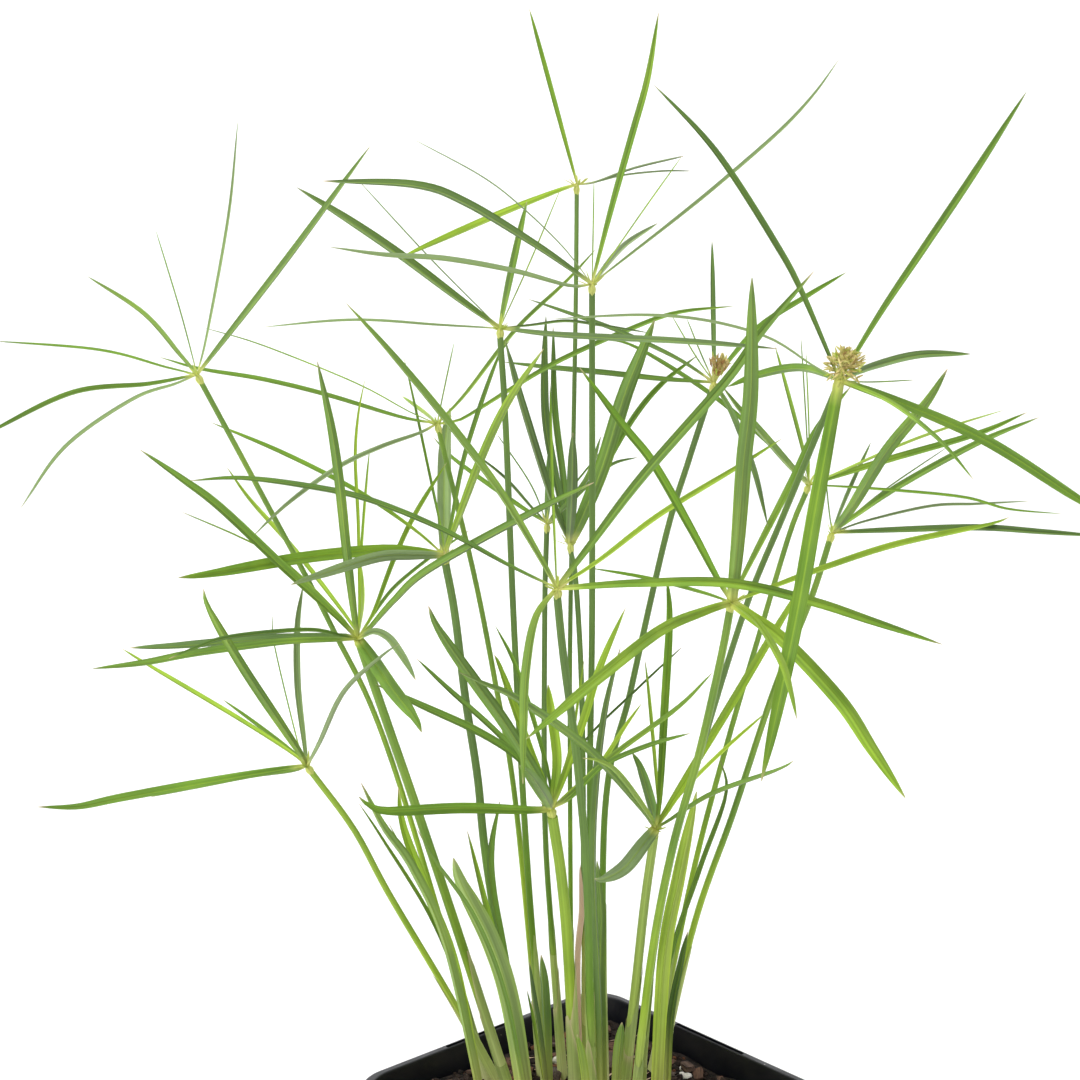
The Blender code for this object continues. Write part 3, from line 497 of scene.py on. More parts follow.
def curve(points, shares):
    """Return the points at shares of the length of a Catmull-Rom curve.

    Between a and b, with z before and c after, it is half of
    2a + (b - z)t + (2z - 5a + 4b - c)t^2 + (3a - z - 3b + c)t^3.
    """
    points = np.asarray(points, float)
    shares = np.asarray(shares, float)
    lengths = np.linalg.norm(np.diff(points, axis=0), axis=1)
    run = np.concatenate(([0.0], np.cumsum(lengths)))
    want = np.clip(shares, 0.0, 1.0) * run[-1]
    spot = np.clip(np.searchsorted(run, want, side="right") - 1, 0, len(lengths) - 1)
    t = ((want - run[spot]) / lengths[spot])[..., None]
    held = np.vstack([2.0 * points[0] - points[1], points, 2.0 * points[-1] - points[-2]])
    z, a, b, c = (held[spot + step] for step in range(4))
    return 0.5 * (2.0 * a + (b - z) * t + (2.0 * z - 5.0 * a + 4.0 * b - c) * t ** 2
                  + (3.0 * a - z - 3.0 * b + c) * t ** 3)


def directions(points, shares):
    """Return the unit directions along a curve, from points 1% to each side."""
    ahead = curve(points, np.minimum(np.asarray(shares) + 0.01, 1.0))
    behind = curve(points, np.maximum(np.asarray(shares) - 0.01, 0.0))
    return unit(ahead - behind)


def way_length(points):
    """Return the length of a line through points."""
    return np.linalg.norm(np.diff(points, axis=0), axis=1).sum()


class Surface:
    """Tubes gathered into one mesh, with values kept at its points."""

    def __init__(self):
        self.points = []
        self.faces = []
        self.values = {name: [] for name in POINT_VALUES}
        self.grain = []
        self.count = 0

    def add(self, rings, grain=None, **values):
        """Add closed tubes, given as an array of tubes, rows, points around.

        Point a of row r joins a + 1 and the same two of row r + 1, and the end
        rows fan to their middles. A tube whose signed volume, the sum of
        a . (b x c) over its triangles, is negative is turned inside out.
        """
        rings = np.asarray(rings, float)
        if rings.ndim == 3:
            rings = rings[None]
        tubes, rows, around, _ = rings.shape
        poles = np.stack([rings[:, 0].mean(axis=1), rings[:, -1].mean(axis=1)], axis=1)
        points = np.concatenate([rings.reshape(tubes, -1, 3), poles], axis=1)
        row, place = np.meshgrid(np.arange(rows - 1), np.arange(around), indexing="ij")
        after = (place + 1) % around
        quads = np.stack([row * around + place, row * around + after,
                          (row + 1) * around + after, (row + 1) * around + place], -1)
        quads = quads.reshape(-1, 4)
        here = np.arange(around)
        beside = (here + 1) % around
        last = (rows - 1) * around
        ends = np.vstack([
            np.stack([beside, here, np.full(around, rows * around)], -1),
            np.stack([last + here, last + beside, np.full(around, rows * around + 1)], -1)])
        fans = np.vstack([quads[:, [0, 1, 2]], quads[:, [0, 2, 3]], ends])
        corners = (points - points.mean(axis=1, keepdims=True))[:, fans]
        volume = np.einsum("nfi,nfi->n", corners[:, :, 0],
                           np.cross(corners[:, :, 1], corners[:, :, 2]))
        inside_out = (volume < 0.0)[:, None, None]
        start = self.count + points.shape[1] * np.arange(tubes)[:, None, None]
        for faces in (quads, ends):
            turned = np.where(inside_out, faces[None, :, ::-1], faces[None]) + start
            self.faces += turned.reshape(-1, faces.shape[1]).tolist()
        self.points.append(points.reshape(-1, 3))
        for name in POINT_VALUES:
            self.values[name].append(self.spread(values.get(name, 0.0), rings.shape[:3]))
        along = np.zeros(rings.shape) if grain is None else np.asarray(grain, float)
        along = np.broadcast_to(along, rings.shape).reshape(tubes, -1, 3)
        self.grain.append(np.concatenate([along, along[:, [0, -1]]], axis=1).reshape(-1, 3))
        self.count += points.shape[0] * points.shape[1]

    @staticmethod
    def spread(value, shape):
        """Return a value at every point of tubes and at their two middles."""
        flat = np.broadcast_to(np.asarray(value, float), shape).reshape(shape[0], -1)
        ends = np.stack([flat[:, :shape[2]].mean(axis=1), flat[:, -shape[2]:].mean(axis=1)], 1)
        return np.concatenate([flat, ends], axis=1).ravel()

    def finish(self, name, material, slot, nodes=(), sharp=60.0):
        """Make the object, let it ride on the root and stand for its nodes."""
        mesh = bpy.data.meshes.new(name)
        mesh.from_pydata(np.concatenate(self.points), [], self.faces)
        for value in POINT_VALUES:
            layer = mesh.attributes.new(value, "FLOAT", "POINT")
            layer.data.foreach_set("value", np.concatenate(self.values[value]).astype(np.float32))
        layer = mesh.attributes.new("grain", "FLOAT_VECTOR", "POINT")
        layer.data.foreach_set("vector", np.concatenate(self.grain).astype(np.float32).ravel())
        mesh.shade_smooth()
        mesh.set_sharp_from_angle(angle=math.radians(sharp))
        mesh.update()
        piece = bpy.data.objects.new(name, mesh)
        bpy.context.scene.collection.objects.link(piece)
        mesh.materials.append(material)
        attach(piece, "root")
        if nodes:
            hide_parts(*nodes)
        return piece


def leaf_way(root, root_px, root_depth, tip_depth, places):
    """Return a leaf's points from root to tip.

    Its depth grows with 1 - (1 - x) ** ARCH, where x is the share run.
    """
    pixels = np.vstack([root_px, np.array(places, float)[::-1]])
    run = np.cumsum(np.linalg.norm(np.diff(pixels, axis=0), axis=1))
    share = 1.0 - (1.0 - run / run[-1]) ** ARCH
    return np.vstack([root, sight(pixels[1:, 0], pixels[1:, 1], root_depth + tip_depth * share)])


def leaf_share(shares, full_at, base):
    """Return a leaf's width along it as a share of its full width.

    It rises from the base share as x(2 - x) up to full_at, and then falls as
    (1 - y^3) ** 0.8, where y runs from 0 there to 1 at the tip.
    """
    rise = np.clip(shares / full_at, 0.0, 1.0)
    fall = np.clip((shares - full_at) / (1.0 - full_at), 0.0, 1.0)
    return (base + (1.0 - base) * rise * (2.0 - rise)) * (1.0 - fall ** 3) ** 0.8


def leaf_sides(here, along, shares):
    """Return the directions to the side and upwards at each row of a leaf.

    Its breadth faces the eye and doesn't flip on its way, and its upper side is
    the one that looks up more over the shares UPPER_AT.
    """
    side = unit(np.cross(along, here - EYE))
    same = np.sign(np.einsum("ij,ij->i", side[1:], side[:-1]))
    side[1:] *= np.cumprod(np.where(same < 0.0, -1.0, 1.0))[:, None]
    upper = unit(np.cross(side, along))
    if upper[np.searchsorted(shares, UPPER_AT), 2].sum() < 0.0:
        return -side, -upper
    return side, upper


def add_leaf(surface, points, width_px, look, chance, blade=False):
    """Add one keeled leaf along its points.

    Across it, a point at share a of the half width stands up by |a| - 1/2 of
    the keel, and the underside lies the thickness below. Its breadth faces the
    eye, or is turned by acos(1 / 1.3) until it looks further up.
    """
    age, bloom, dry = LOOKS[look]
    hair = width_px < HAIR_PX
    # Rows gather towards the tip, and the last stops just short of it
    steps = np.linspace(0.0, 1.0, HAIR_ROWS if hair else LEAF_ROWS)
    shares = 1.0 - (1.0 - steps) ** ROW_CROWD
    shares[-1] = LAST_ROW
    here = curve(points, shares)
    along = directions(points, shares)
    side, upper = leaf_sides(here, along, shares)
    # A leaf of middling width is made broader, and turned until it looks no broader
    turned = HAIR_PX < width_px < BROAD_PX
    roll = np.zeros(len(shares))
    if turned:
        middle = np.searchsorted(shares, 0.6 if blade else 0.4)
        turn = math.acos(1.0 / TURN_SHARE)
        roll += turn if side[middle, 2] > 0.0 else -turn
    # It twists a little on its way
    roll += chance.normal(0.0, 0.16) * (shares - 0.4) + chance.normal(0.0, 0.05)
    bend, lift = np.cos(roll)[:, None], np.sin(roll)[:, None]
    side, upper = side * bend - upper * lift, upper * bend + side * lift
    # A broad leaf is broader at its root too
    base = np.clip(0.46 + 0.03 * (width_px - BROAD_PX), 0.42, 0.75)
    wide = leaf_share(shares, 0.6, 0.8) if blade else leaf_share(shares, 0.5, base)
    if hair:
        wide = np.sqrt(wide)
    width = width_px * pixel_size(here) * wide * (TURN_SHARE if turned else 1.0)
    keel = width * (0.16 + 0.1 * chance.random())
    sizes = bpy.context.scene.sedge_plant
    thick = sizes.leaf_thickness * np.sqrt(np.clip(wide, 0.02, 1.0)) * (0.5 if hair else 1.0)
    thick = np.minimum(thick, width * 0.7)
    out = np.abs(ACROSS)
    height = keel[:, None] * (out - 0.5) + 0.05 * width[:, None] * np.sin(math.pi * out)
    under = np.arange(len(ACROSS)) >= TOP_POINTS
    depth = thick[:, None] * np.where(out == 0.0, 1.35, 1.0 - 0.5 * out) * under
    rings = (here[:, None] + side[:, None] * (ACROSS * width[:, None] / 2.0)[..., None]
             + upper[:, None] * (height - depth)[..., None])
    run = way_length(points) * shares
    pale = BLADE_PALE if blade else LEAF_PALE
    grain = np.stack([ACROSS * width[:, None] / 2.0,
                      np.broadcast_to(chance.random() * 0.1 - depth, rings.shape[:2]),
                      np.broadcast_to(run[:, None], rings.shape[:2])], -1)
    age += chance.normal(0.0, 0.06) + (0.4 if hair else 0.0)
    tip = chance.uniform(0.2, 1.0) * smooth_step((shares - 0.955) / 0.05)
    surface.add(rings, grain, fold=ACROSS,
                age=np.clip(age + 0.08 * smooth_step(shares * 1.4), 0.0, 1.0)[:, None],
                bloom=np.clip(bloom + chance.normal(0.0, 0.05) + 0.18 * under, 0.0, 1.0),
                dry=np.clip(np.maximum(dry, tip), 0.0, 1.0)[:, None],
                foot=(0.7 if blade else 1.0) * (1.0 - smooth_step(run / pale))[:, None])


def tube(points, shares, radius, around, ridge=0.0, phase=0.0):
    """Return rings round a curve, and their angles.

    The radius at angle t is multiplied by 1 + ridge cos(3t + phase), which
    gives the three soft corners of a sedge stem.
    """
    angles = np.arange(around) * 2.0 * math.pi / around
    shares = np.asarray(shares, float)
    if shares.ndim == 1:
        shares = np.broadcast_to(shares[:, None], (len(shares), around))
    here = curve(points, shares)
    along = directions(points, shares)
    side = unit(np.cross(along, np.array([0.0, 1.0, 0.0])))
    front = unit(np.cross(side, along))
    reach = np.asarray(radius, float)
    if reach.ndim < 2:
        reach = np.broadcast_to(reach.reshape(-1, 1), shares.shape)
    reach = reach * (1.0 + ridge * np.cos(3.0 * angles + phase))
    circle = side * np.cos(angles)[:, None] + front * np.sin(angles)[:, None]
    rings = here + circle * reach[..., None]
    run = way_length(points) * shares
    grain = np.stack([reach * np.cos(angles), reach * np.sin(angles), run], -1)
    return rings, grain


def add_hub(surface, middle, along, radius, rust, chance):
    """Add the knot where leaves meet: a short tube that swells and closes."""
    ends = middle + along * np.array([[-2.4], [-0.8], [1.3]]) * MM
    shares = np.array([0.0, 0.1, 0.25, 0.42, 0.58, 0.74, 0.88, 0.97])
    swell = np.array([0.62, 0.72, 0.85, 1.0, 1.05, 0.9, 0.6, 0.25]) * radius
    rings, grain = tube(ends, shares, swell, 12, 0.16, chance.uniform(0.0, 6.0))
    rusty = np.clip(chance.normal(0.5, 0.5, rings.shape[:2]) * rust, 0.0, 0.8)
    surface.add(rings, grain, age=0.25, dry=rusty, foot=0.75)


def add_spindles(surface, starts, ends, radii, rows, around, **values):
    """Add straight spindles, 0.6 as thick as wide.

    The radius at share x of the length follows sin(pi x) ** 0.7.
    """
    shares = np.linspace(0.04, 0.97, rows)
    along = unit(ends - starts)
    side = unit(np.cross(along, np.array([0.3, 0.5, 0.81])))
    front = np.cross(along, side)
    angles = np.arange(around) * 2.0 * math.pi / around
    here = starts[:, None] + (ends - starts)[:, None] * shares[:, None]
    reach = radii[:, None] * np.sin(math.pi * shares) ** 0.7
    flat = 0.6 * front[:, None] * np.sin(angles)[:, None]
    circle = side[:, None] * np.cos(angles)[:, None] + flat
    rings = here[:, :, None] + circle[:, None] * reach[..., None, None]
    surface.add(rings, **values)


def turned_frames(chance, count, flat):
    """Return random frames; flat from 0 to 1 lays their third axis upright."""
    upright = chance.normal(size=(count, 3)) * (1.0 - flat) + np.array([0.0, 0.0, 1.0]) * flat * 1.6
    third = unit(upright)
    first = unit(np.cross(third, unit(chance.normal(size=(count, 3)))))
    return np.stack([first, np.cross(third, first), third], axis=1)


def add_lumps(surface, middles, sizes, frames, chance, rows, around, rough, square, **values):
    """Add lumps: balls drawn towards boxes, with every point moved at random.

    A point of the unit ball has each coordinate x replaced by
    sign(x)|x| ** square, then its distance varied by the share rough.
    """
    polar = np.linspace(0.16, math.pi - 0.16, rows)[:, None]
    turn = np.arange(around) * 2.0 * math.pi / around
    ball = np.stack([np.sin(polar) * np.cos(turn), np.sin(polar) * np.sin(turn),
                     np.cos(polar) * np.ones(around)], -1)
    boxed = np.sign(ball) * np.abs(ball) ** square
    scale = 1.0 + rough * chance.normal(size=(len(middles), rows, around, 1))
    local = boxed[None] * scale * sizes[:, None, None] / 2.0
    rings = middles[:, None, None] + np.einsum("nrai,nij->nraj", local, frames)
    surface.add(rings, local, **values)


def add_node(material, kind, inputs, output=0, **fields):
    """Add a node with its inputs and fields, and return one of its outputs.

    An input takes a value, a colour or another node's output, and the field
    stops holds the places and colours of a ramp.
    """
    node = material.node_tree.nodes.new(kind)
    for stop, (place, shade) in enumerate(fields.pop("stops", ())):
        ramp = node.color_ramp.elements
        if stop >= len(ramp):
            ramp.new(1.0)
        ramp[stop].position = place
        ramp[stop].color = (*shade, 1.0)
    for key, value in fields.items():
        setattr(node, key, value)
    for key, value in inputs.items():
        socket = node.inputs[key]
        if isinstance(value, bpy.types.NodeSocket):
            material.node_tree.links.new(value, socket)
        else:
            socket.default_value = (*value, 1.0) if socket.type == "RGBA" else value
    return node.outputs[output]


def grained(material, spacing, detail, own=True):
    """Return a noise with its lumps so many millimetres apart along each axis.

    It lies on the grain that a surface keeps at its points, or on the object.
    """
    if own:
        place = add_node(material, "ShaderNodeAttribute", {}, "Vector", attribute_name="grain")
    else:
        place = add_node(material, "ShaderNodeTexCoord", {}, "Object")
    scale = tuple(1.0 / (np.broadcast_to(spacing, 3) * MM))
    scaled = add_node(material, "ShaderNodeMapping", {"Vector": place, "Scale": scale})
    return add_node(material, "ShaderNodeTexNoise",
                    {"Vector": scaled, "Scale": 1.0, "Detail": detail}, "Fac")


def tinted(material, value, first, second):
    """Return two colours mixed by a value that the surface keeps at its points."""
    share = add_node(material, "ShaderNodeAttribute", {}, "Fac", attribute_name=value)
    return add_node(material, "ShaderNodeMix", {0: share, 6: first, 7: second}, 2,
                    data_type="RGBA")


def patched(material, spread, first, second):
    """Return two colours mixed by a spread: a pattern, its range and the range it gets."""
    share = add_node(material, "ShaderNodeMapRange", dict(enumerate(spread)))
    return add_node(material, "ShaderNodeMix", {0: share, 6: first, 7: second}, 2,
                    data_type="RGBA")


def shaded(material, spread, shade):
    """Return a colour made darker and lighter by a spread."""
    value = add_node(material, "ShaderNodeMapRange", dict(enumerate(spread)))
    return add_node(material, "ShaderNodeHueSaturation", {"Color": shade, "Value": value})


def new_finish(name, roughness, ior, shine=0.5):
    """Return a material whose shader has these constants."""
    material = bpy.data.materials.new(name)
    material.use_nodes = True
    inputs = material.node_tree.nodes["Principled BSDF"].inputs
    inputs["Roughness"].default_value = roughness
    inputs["IOR"].default_value = ior
    inputs["Specular IOR Level"].default_value = shine
    return material


def finished(material, shade, relief, strength, height, gloss=None):
    """Return the material with its colour, relief and gloss joined to its shader.

    The relief is a pattern this many millimetres high, the gloss a spread that
    gives the roughness.
    """
    ends = {"Base Color": shade, "Normal": add_node(
        material, "ShaderNodeBump", {"Strength": strength, "Distance": height * MM,
                                     "Height": relief})}
    if gloss:
        ends["Roughness"] = add_node(material, "ShaderNodeMapRange", dict(enumerate(gloss)))
    for key, source in ends.items():
        material.node_tree.links.new(
            source, material.node_tree.nodes["Principled BSDF"].inputs[key])
    return material


def living_colour(material):
    """Return the colour of living tissue: the green of its age, grey bloom and dry straw.

    Patches 17 to 22 mm wide make it look a little younger or older.
    """
    colours = bpy.context.scene.sedge_colours
    patches = grained(material, (16.7, 16.7, 22.2), 2.0, own=False)
    shift = add_node(material, "ShaderNodeMath", {0: patches, 1: 0.56, 2: -0.3},
                     operation="MULTIPLY_ADD")
    age = add_node(material, "ShaderNodeAttribute", {}, "Fac", attribute_name="age")
    aged = add_node(material, "ShaderNodeMath", {0: age, 1: shift}, operation="ADD",
                    use_clamp=True)
    green = add_node(material, "ShaderNodeValToRGB", {"Fac": aged}, stops=(
        (0.0, colours.young), (0.27, colours.fresh), (0.55, colours.grown), (1.0, colours.old)))
    return tinted(material, "dry", tinted(material, "bloom", green, colours.bloom), colours.dead)


def leaf_finish():
    """Sedge leaf, a waxy skin over parallel veins.

    The veins give stripes along it, the groove over the keel a pale line, and
    the wax a soft broad gloss. One half of the leaf across the keel is painted
    lighter and the other darker: painted light and painted shade for the two
    faces of the fold. Real veins lie a quarter of a millimetre apart, which is
    too fine to show, so these lie 0.77 mm apart with finer ones between.
    """
    colours = bpy.context.scene.sedge_colours
    material = new_finish("sedge_leaf_waxy_skin", 0.42, 1.45, 0.2)
    fold = add_node(material, "ShaderNodeAttribute", {}, "Fac", attribute_name="fold")
    aside = add_node(material, "ShaderNodeMath", {0: fold}, operation="ABSOLUTE")
    veins = grained(material, (0.77, 0.77, 71.0), 3.0)
    grooved = patched(material, (aside, 0.03, 0.15, 0.3, 0.0), living_colour(material),
                      colours.young)
    based = tinted(material, "foot", grooved, colours.base)
    # Painted light and painted shade: one half of the leaf across the keel lighter, the other
    # darker
    painted_half_shade = shaded(material, (fold, -0.12, 0.12, 0.88, 1.1), based)
    striped = shaded(material, (veins, 0.34, 0.66, 0.74, 1.22), painted_half_shade)
    return finished(material, striped, veins, 0.35, 0.06, (veins, 0.3, 0.7, 0.38, 0.5))


def stem_finish():
    """Sedge stem, smooth and three-cornered, with pale sheaths at its foot.

    Fibres 0.5 mm apart give long faint streaks, and the sheaths fade to straw.
    """
    colours = bpy.context.scene.sedge_colours
    material = new_finish("sedge_stem_smooth_skin", 0.4, 1.45, 0.2)
    fibres = grained(material, (0.5, 0.5, 83.0), 2.0)
    based = tinted(material, "foot", living_colour(material), colours.sheath)
    streaked = shaded(material, (fibres, 0.3, 0.7, 0.84, 1.14), based)
    return finished(material, streaked, fibres, 0.3, 0.08, (fibres, 0.3, 0.7, 0.36, 0.5))


def dead_leaf_finish():
    """Dead sedge leaf, dried out: matt, straw pink, with dark fibres 0.4 mm apart."""
    colours = bpy.context.scene.sedge_colours
    material = new_finish("dried_sedge_leaf", 0.8, 1.4)
    fibres = grained(material, (0.4, 0.4, 33.0), 3.0)
    body = patched(material, (fibres, 0.35, 0.7, 0.0, 0.3), colours.dead, colours.old_bark)
    return finished(material, body, fibres, 0.6, 0.1)


def spikelet_finish():
    """Papery flower scales 0.6 mm wide: matt, golden tan to brown, each in its own shade."""
    colours = bpy.context.scene.sedge_colours
    material = new_finish("papery_spikelet_scales", 0.7, 1.4)
    scales = grained(material, 0.59, 1.0, own=False)
    body = tinted(material, "age", colours.spikelet, colours.husk)
    greened = tinted(material, "bloom", body, colours.young)
    varied = shaded(material, (scales, 0.3, 0.7, 0.7, 1.2), greened)
    return finished(material, varied, scales, 0.6, 0.2)


def pot_finish():
    """Polypropylene, injection moulded with carbon black.

    A faint orange peel of 0.7 mm breaks up its satin gloss, and dust in patches
    of 11 mm and specks of 1 mm turn parts of it grey.
    """
    colours = bpy.context.scene.sedge_colours
    material = new_finish("moulded_black_polypropylene", 0.36, 1.49)
    peel = grained(material, 0.71, 2.0, own=False)
    dust = grained(material, (11.1, 11.1, 6.25), 5.0, own=False)
    specks = grained(material, 1.11, 0.0, own=False)
    dusty = patched(material, (dust, 0.5, 0.8, 0.0, 0.07), colours.pot, colours.old_bark)
    speckled = patched(material, (specks, 0.87, 0.9, 0.0, 0.5), dusty, colours.perlite)
    return finished(material, speckled, peel, 0.25, 0.12, (dust, 0.35, 0.75, 0.3, 0.52))


def peat_finish():
    """Damp peat: near black, matt and crumbly, with clods of 4 mm and grit of 1 mm."""
    colours = bpy.context.scene.sedge_colours
    material = new_finish("damp_potting_peat", 0.9, 1.35)
    clods = grained(material, 3.85, 4.0, own=False)
    grit = grained(material, 0.91, 2.0, own=False)
    body = patched(material, (clods, 0.4, 0.75, 0.0, 0.4), colours.peat, colours.old_bark)
    return finished(material, tinted(material, "age", body, colours.bark), grit, 0.8, 0.6)


def bark_finish():
    """Composted pine bark, broken: orange brown to grey, with fibres 0.6 mm apart."""
    colours = bpy.context.scene.sedge_colours
    material = new_finish("composted_pine_bark", 0.82, 1.4)
    fibres = grained(material, (4.0, 0.59, 0.59), 3.0)
    weathered = tinted(material, "age", colours.bark, colours.old_bark)
    body = patched(material, (fibres, 0.42, 0.72, 0.0, 0.75), weathered, colours.peat)
    return finished(material, body, fibres, 0.8, 0.4)


def perlite_finish():
    """Perlite, expanded volcanic glass: chalk white, with pores of 0.3 mm."""
    colours = bpy.context.scene.sedge_colours
    material = new_finish("expanded_perlite", 0.85, 1.5)
    pores = grained(material, 0.33, 2.0, own=False)
    body = patched(material, (pores, 0.45, 0.75, 0.0, 0.45), colours.perlite, colours.old_bark)
    return finished(material, body, pores, 0.7, 0.3)


def on_soil(px, depth):
    """Return the point just over the soil seen in a pixel column, at a depth."""
    sizes = bpy.context.scene.sedge_pot
    level = sizes.height - sizes.soil_drop
    reach = (depth * MM - EYE[1]) * math.cos(TILT) + (EYE[2] - level) * math.sin(TILT)
    return np.array([EYE[0] + reach * (px - MIDDLE_PX) / FOCAL_PX, depth * MM, level + GAP])


def stem_points(umbel):
    """Return a stem's points from the soil to its hub, the hub and the last direction."""
    foot = on_soil(*umbel.foot)
    foot_depth = umbel.foot[1]
    hub = sight(*umbel.hub, umbel.depth)
    places = np.array(umbel.way[::-1], float)
    level = sight(places[:, 0], places[:, 1], umbel.depth)[:, 2]
    rise = (level - foot[2]) / (hub[2] - foot[2])
    points = np.vstack([foot, sight(places[:, 0], places[:, 1],
                                    foot_depth + (umbel.depth - foot_depth) * rise)])
    along = unit(hub - points[-1])
    return points, hub, along


def add_stem(surface, umbel, chance):
    """Add a stem: a tube of three soft corners, with two sheaths round its foot.

    A sheath's wall is carried up to a mouth whose height varies round the stem
    as ((1 + cos t) / 2) ** 3, which draws it out to a point.
    """
    age, bloom, dry = LOOKS[umbel.looks[0]]
    points, hub, along = stem_points(umbel)
    top = hub - along * (HUB_HEIGHT / 2.0 + GAP)
    radius = umbel.width * pixel_size(top) / 2.0
    down = unit(points[0] - points[1])
    way = np.vstack([points[0] + down * ROOTED, points, hub - along * 1.5 * MM])
    reach = way_length(way)
    shares = np.concatenate([np.linspace(0.0, 0.3, FOOT_ROWS),
                             np.linspace(0.32, 1.0, STEM_ROWS - FOOT_ROWS)])
    phase = chance.uniform(0.0, 2.0 * math.pi)
    swell = radius * (1.02 - 0.12 * shares)
    rings, grain = tube(way, shares, swell, STEM_AROUND, 0.09, phase)
    fresh = 0.42 * (1.0 - smooth_step((shares - 0.05) / 0.55))
    surface.add(rings, grain, age=np.clip(age - fresh, 0.0, 1.0)[:, None],
                bloom=np.clip(bloom * smooth_step((shares - 0.15) / 0.4)
                              + 0.12 * smooth_step((shares - 0.3) / 0.5), 0.0, 1.0)[:, None],
                foot=0.8 * (1.0 - smooth_step(shares * reach / SHEATH_TOP))[:, None])

    angles = np.arange(STEM_AROUND) * 2.0 * math.pi / STEM_AROUND
    # Of each sheath: the share of SHEATH_TOP at which its mouth starts, how far the
    # mouth is drawn out and how far it stands off
    for start, spread, wide in ((0.4, 0.22, 1.0), (0.62, 0.38, 0.4)):
        turn = chance.uniform(0.0, 2.0 * math.pi)
        low = (start * SHEATH_TOP * chance.uniform(0.8, 1.2) + ROOTED) / reach
        mouth = low + spread * SHEATH_TOP / reach * ((1.0 + np.cos(angles - turn)) / 2.0) ** 3
        wall = np.linspace(0.0, 1.0, SHEATH_ROWS)
        outer = radius * 1.06 + wide * (SHEATH_GIRTH - 0.4 * radius) * (1.0 - 0.45 * wall)
        inner = np.array([0.985, 0.9, 0.8])
        rows = np.concatenate([wall, inner])[:, None] * mouth
        depth = np.concatenate([outer, outer[-1] - np.array([0.12, 0.25, 0.5]) * MM])
        rings, grain = tube(way, rows, depth, STEM_AROUND, 0.06, phase)
        up = np.concatenate([wall, inner])[:, None]
        edge = smooth_step((up - 0.86) / 0.14) * chance.choice([0.0, 0.1, 0.6])
        surface.add(rings, grain, age=0.2 + 0.3 * up, dry=np.clip(edge + dry, 0.0, 1.0),
                    foot=np.clip(1.0 - 0.7 * smooth_step(up), 0.0, 1.0))


def add_whorl(surface, umbel, chance):
    """Add a whorl: the leaves, the knot they leave and the short bracts on it."""
    _, hub, along = stem_points(umbel)
    radius = bpy.context.scene.sedge_plant.hub_radius
    rust = 1.3 * max(LOOKS[umbel.looks[0]][0] - 0.28, 0.0)
    add_hub(surface, hub, along, radius * (0.5 + 0.04 * umbel.width), rust, chance)
    for (width_px, tip_depth, *places), look in zip(umbel.leaves, umbel.looks[1:], strict=True):
        points = leaf_way(hub + along * ROOT_RISE, umbel.hub, umbel.depth, tip_depth, places)
        add_leaf(surface, points, width_px, look, chance)
    count = chance.integers(8, 15)
    way = unit(unit(chance.normal(size=(count, 3))) + along * 1.1)
    long = chance.uniform(1.8, 6.0, count)[:, None] * MM
    add_spindles(surface, hub + along * 0.4 * MM + way * 0.4 * MM, hub + way * long,
                 chance.uniform(0.2, 0.42, count) * MM, 8, 5,
                 age=chance.uniform(0.0, 0.35, (count, 1, 1)),
                 dry=chance.choice([0.0, 0.3, 1.0], (count, 1, 1)) * rust, foot=0.4)


def add_shoot(surface, shoot, chance):
    """Add a tuft: its blades, and a sheath round their foot.

    Its radius stays up to a third of its height, falls to 0.86 of it at two
    thirds and to 0.3 of it at its mouth.
    """
    foot = on_soil(*shoot.foot)
    radius = shoot.width * pixel_size(foot) / 2.0
    rise = np.array([0.0, 0.0, SHEATH_RISE * radius])
    way = np.vstack([foot - np.array([0.0, 0.0, ROOTED]), foot, foot + rise])
    shares = np.linspace(0.0, 1.0, 14)
    swell = np.interp(shares, (0.0, 0.35, 0.65, 1.0), (1.0, 1.0, 0.86, 0.3)) * radius
    rings, grain = tube(way, shares, swell, 16, 0.05, chance.uniform(0.0, 6.0))
    dead = LOOKS[shoot.looks[0]][2]
    surface.add(rings, grain, age=0.2, dry=dead, foot=(0.9 - 0.6 * shares)[:, None])
    root = foot + np.array([0.0, 0.0, BLADE_ROOT * radius])
    for (width_px, tip_depth, *places), look in zip(shoot.blades, shoot.looks, strict=True):
        points = leaf_way(root, pixel_place(root), shoot.foot[1], tip_depth, places)
        add_leaf(surface, points, width_px, look, chance, blade=True)


def add_flower_head(surface, umbel, chance):
    """Add a flower head: spikelets that end on a ball, or on a fan where it is open, and stalks."""
    place, radius_px, brown, fan = umbel.head
    middle = sight(*place, umbel.depth)
    hub = stem_points(umbel)[1]
    radius = radius_px * pixel_size(middle)
    count = int(8.0 * radius_px)
    rise = unit(middle - hub)
    way = unit(unit(chance.normal(size=(count, 3))) + rise * (0.3 + 1.6 * fan))
    centre = middle - rise * radius * 1.3 * fan
    share = chance.uniform(0.65 - 0.3 * fan, 1.05, (count, 1))
    end = centre + way * radius * (1.0 + 0.9 * fan) * share
    lean = unit(way + chance.normal(0.0, 0.25, (count, 3)))
    start = end - lean * bpy.context.scene.sedge_plant.spikelet
    add_spindles(surface, start, end, chance.uniform(0.25, 0.5, count) * MM, 9, 6,
                 age=np.clip(brown + chance.normal(0.0, 0.3, (count, 1, 1)), 0.0, 1.0),
                 bloom=np.clip(chance.normal(0.1, 0.35, (count, 1, 1)), 0.0, 0.9))
    tops = centre + unit(chance.normal(size=(STALKS, 3))) * radius * 0.45 * (1.0 - fan)
    add_spindles(surface, np.repeat(hub[None], STALKS, axis=0), tops,
                 np.full(STALKS, 0.5 * MM), 6, 6, age=0.1, bloom=0.5)


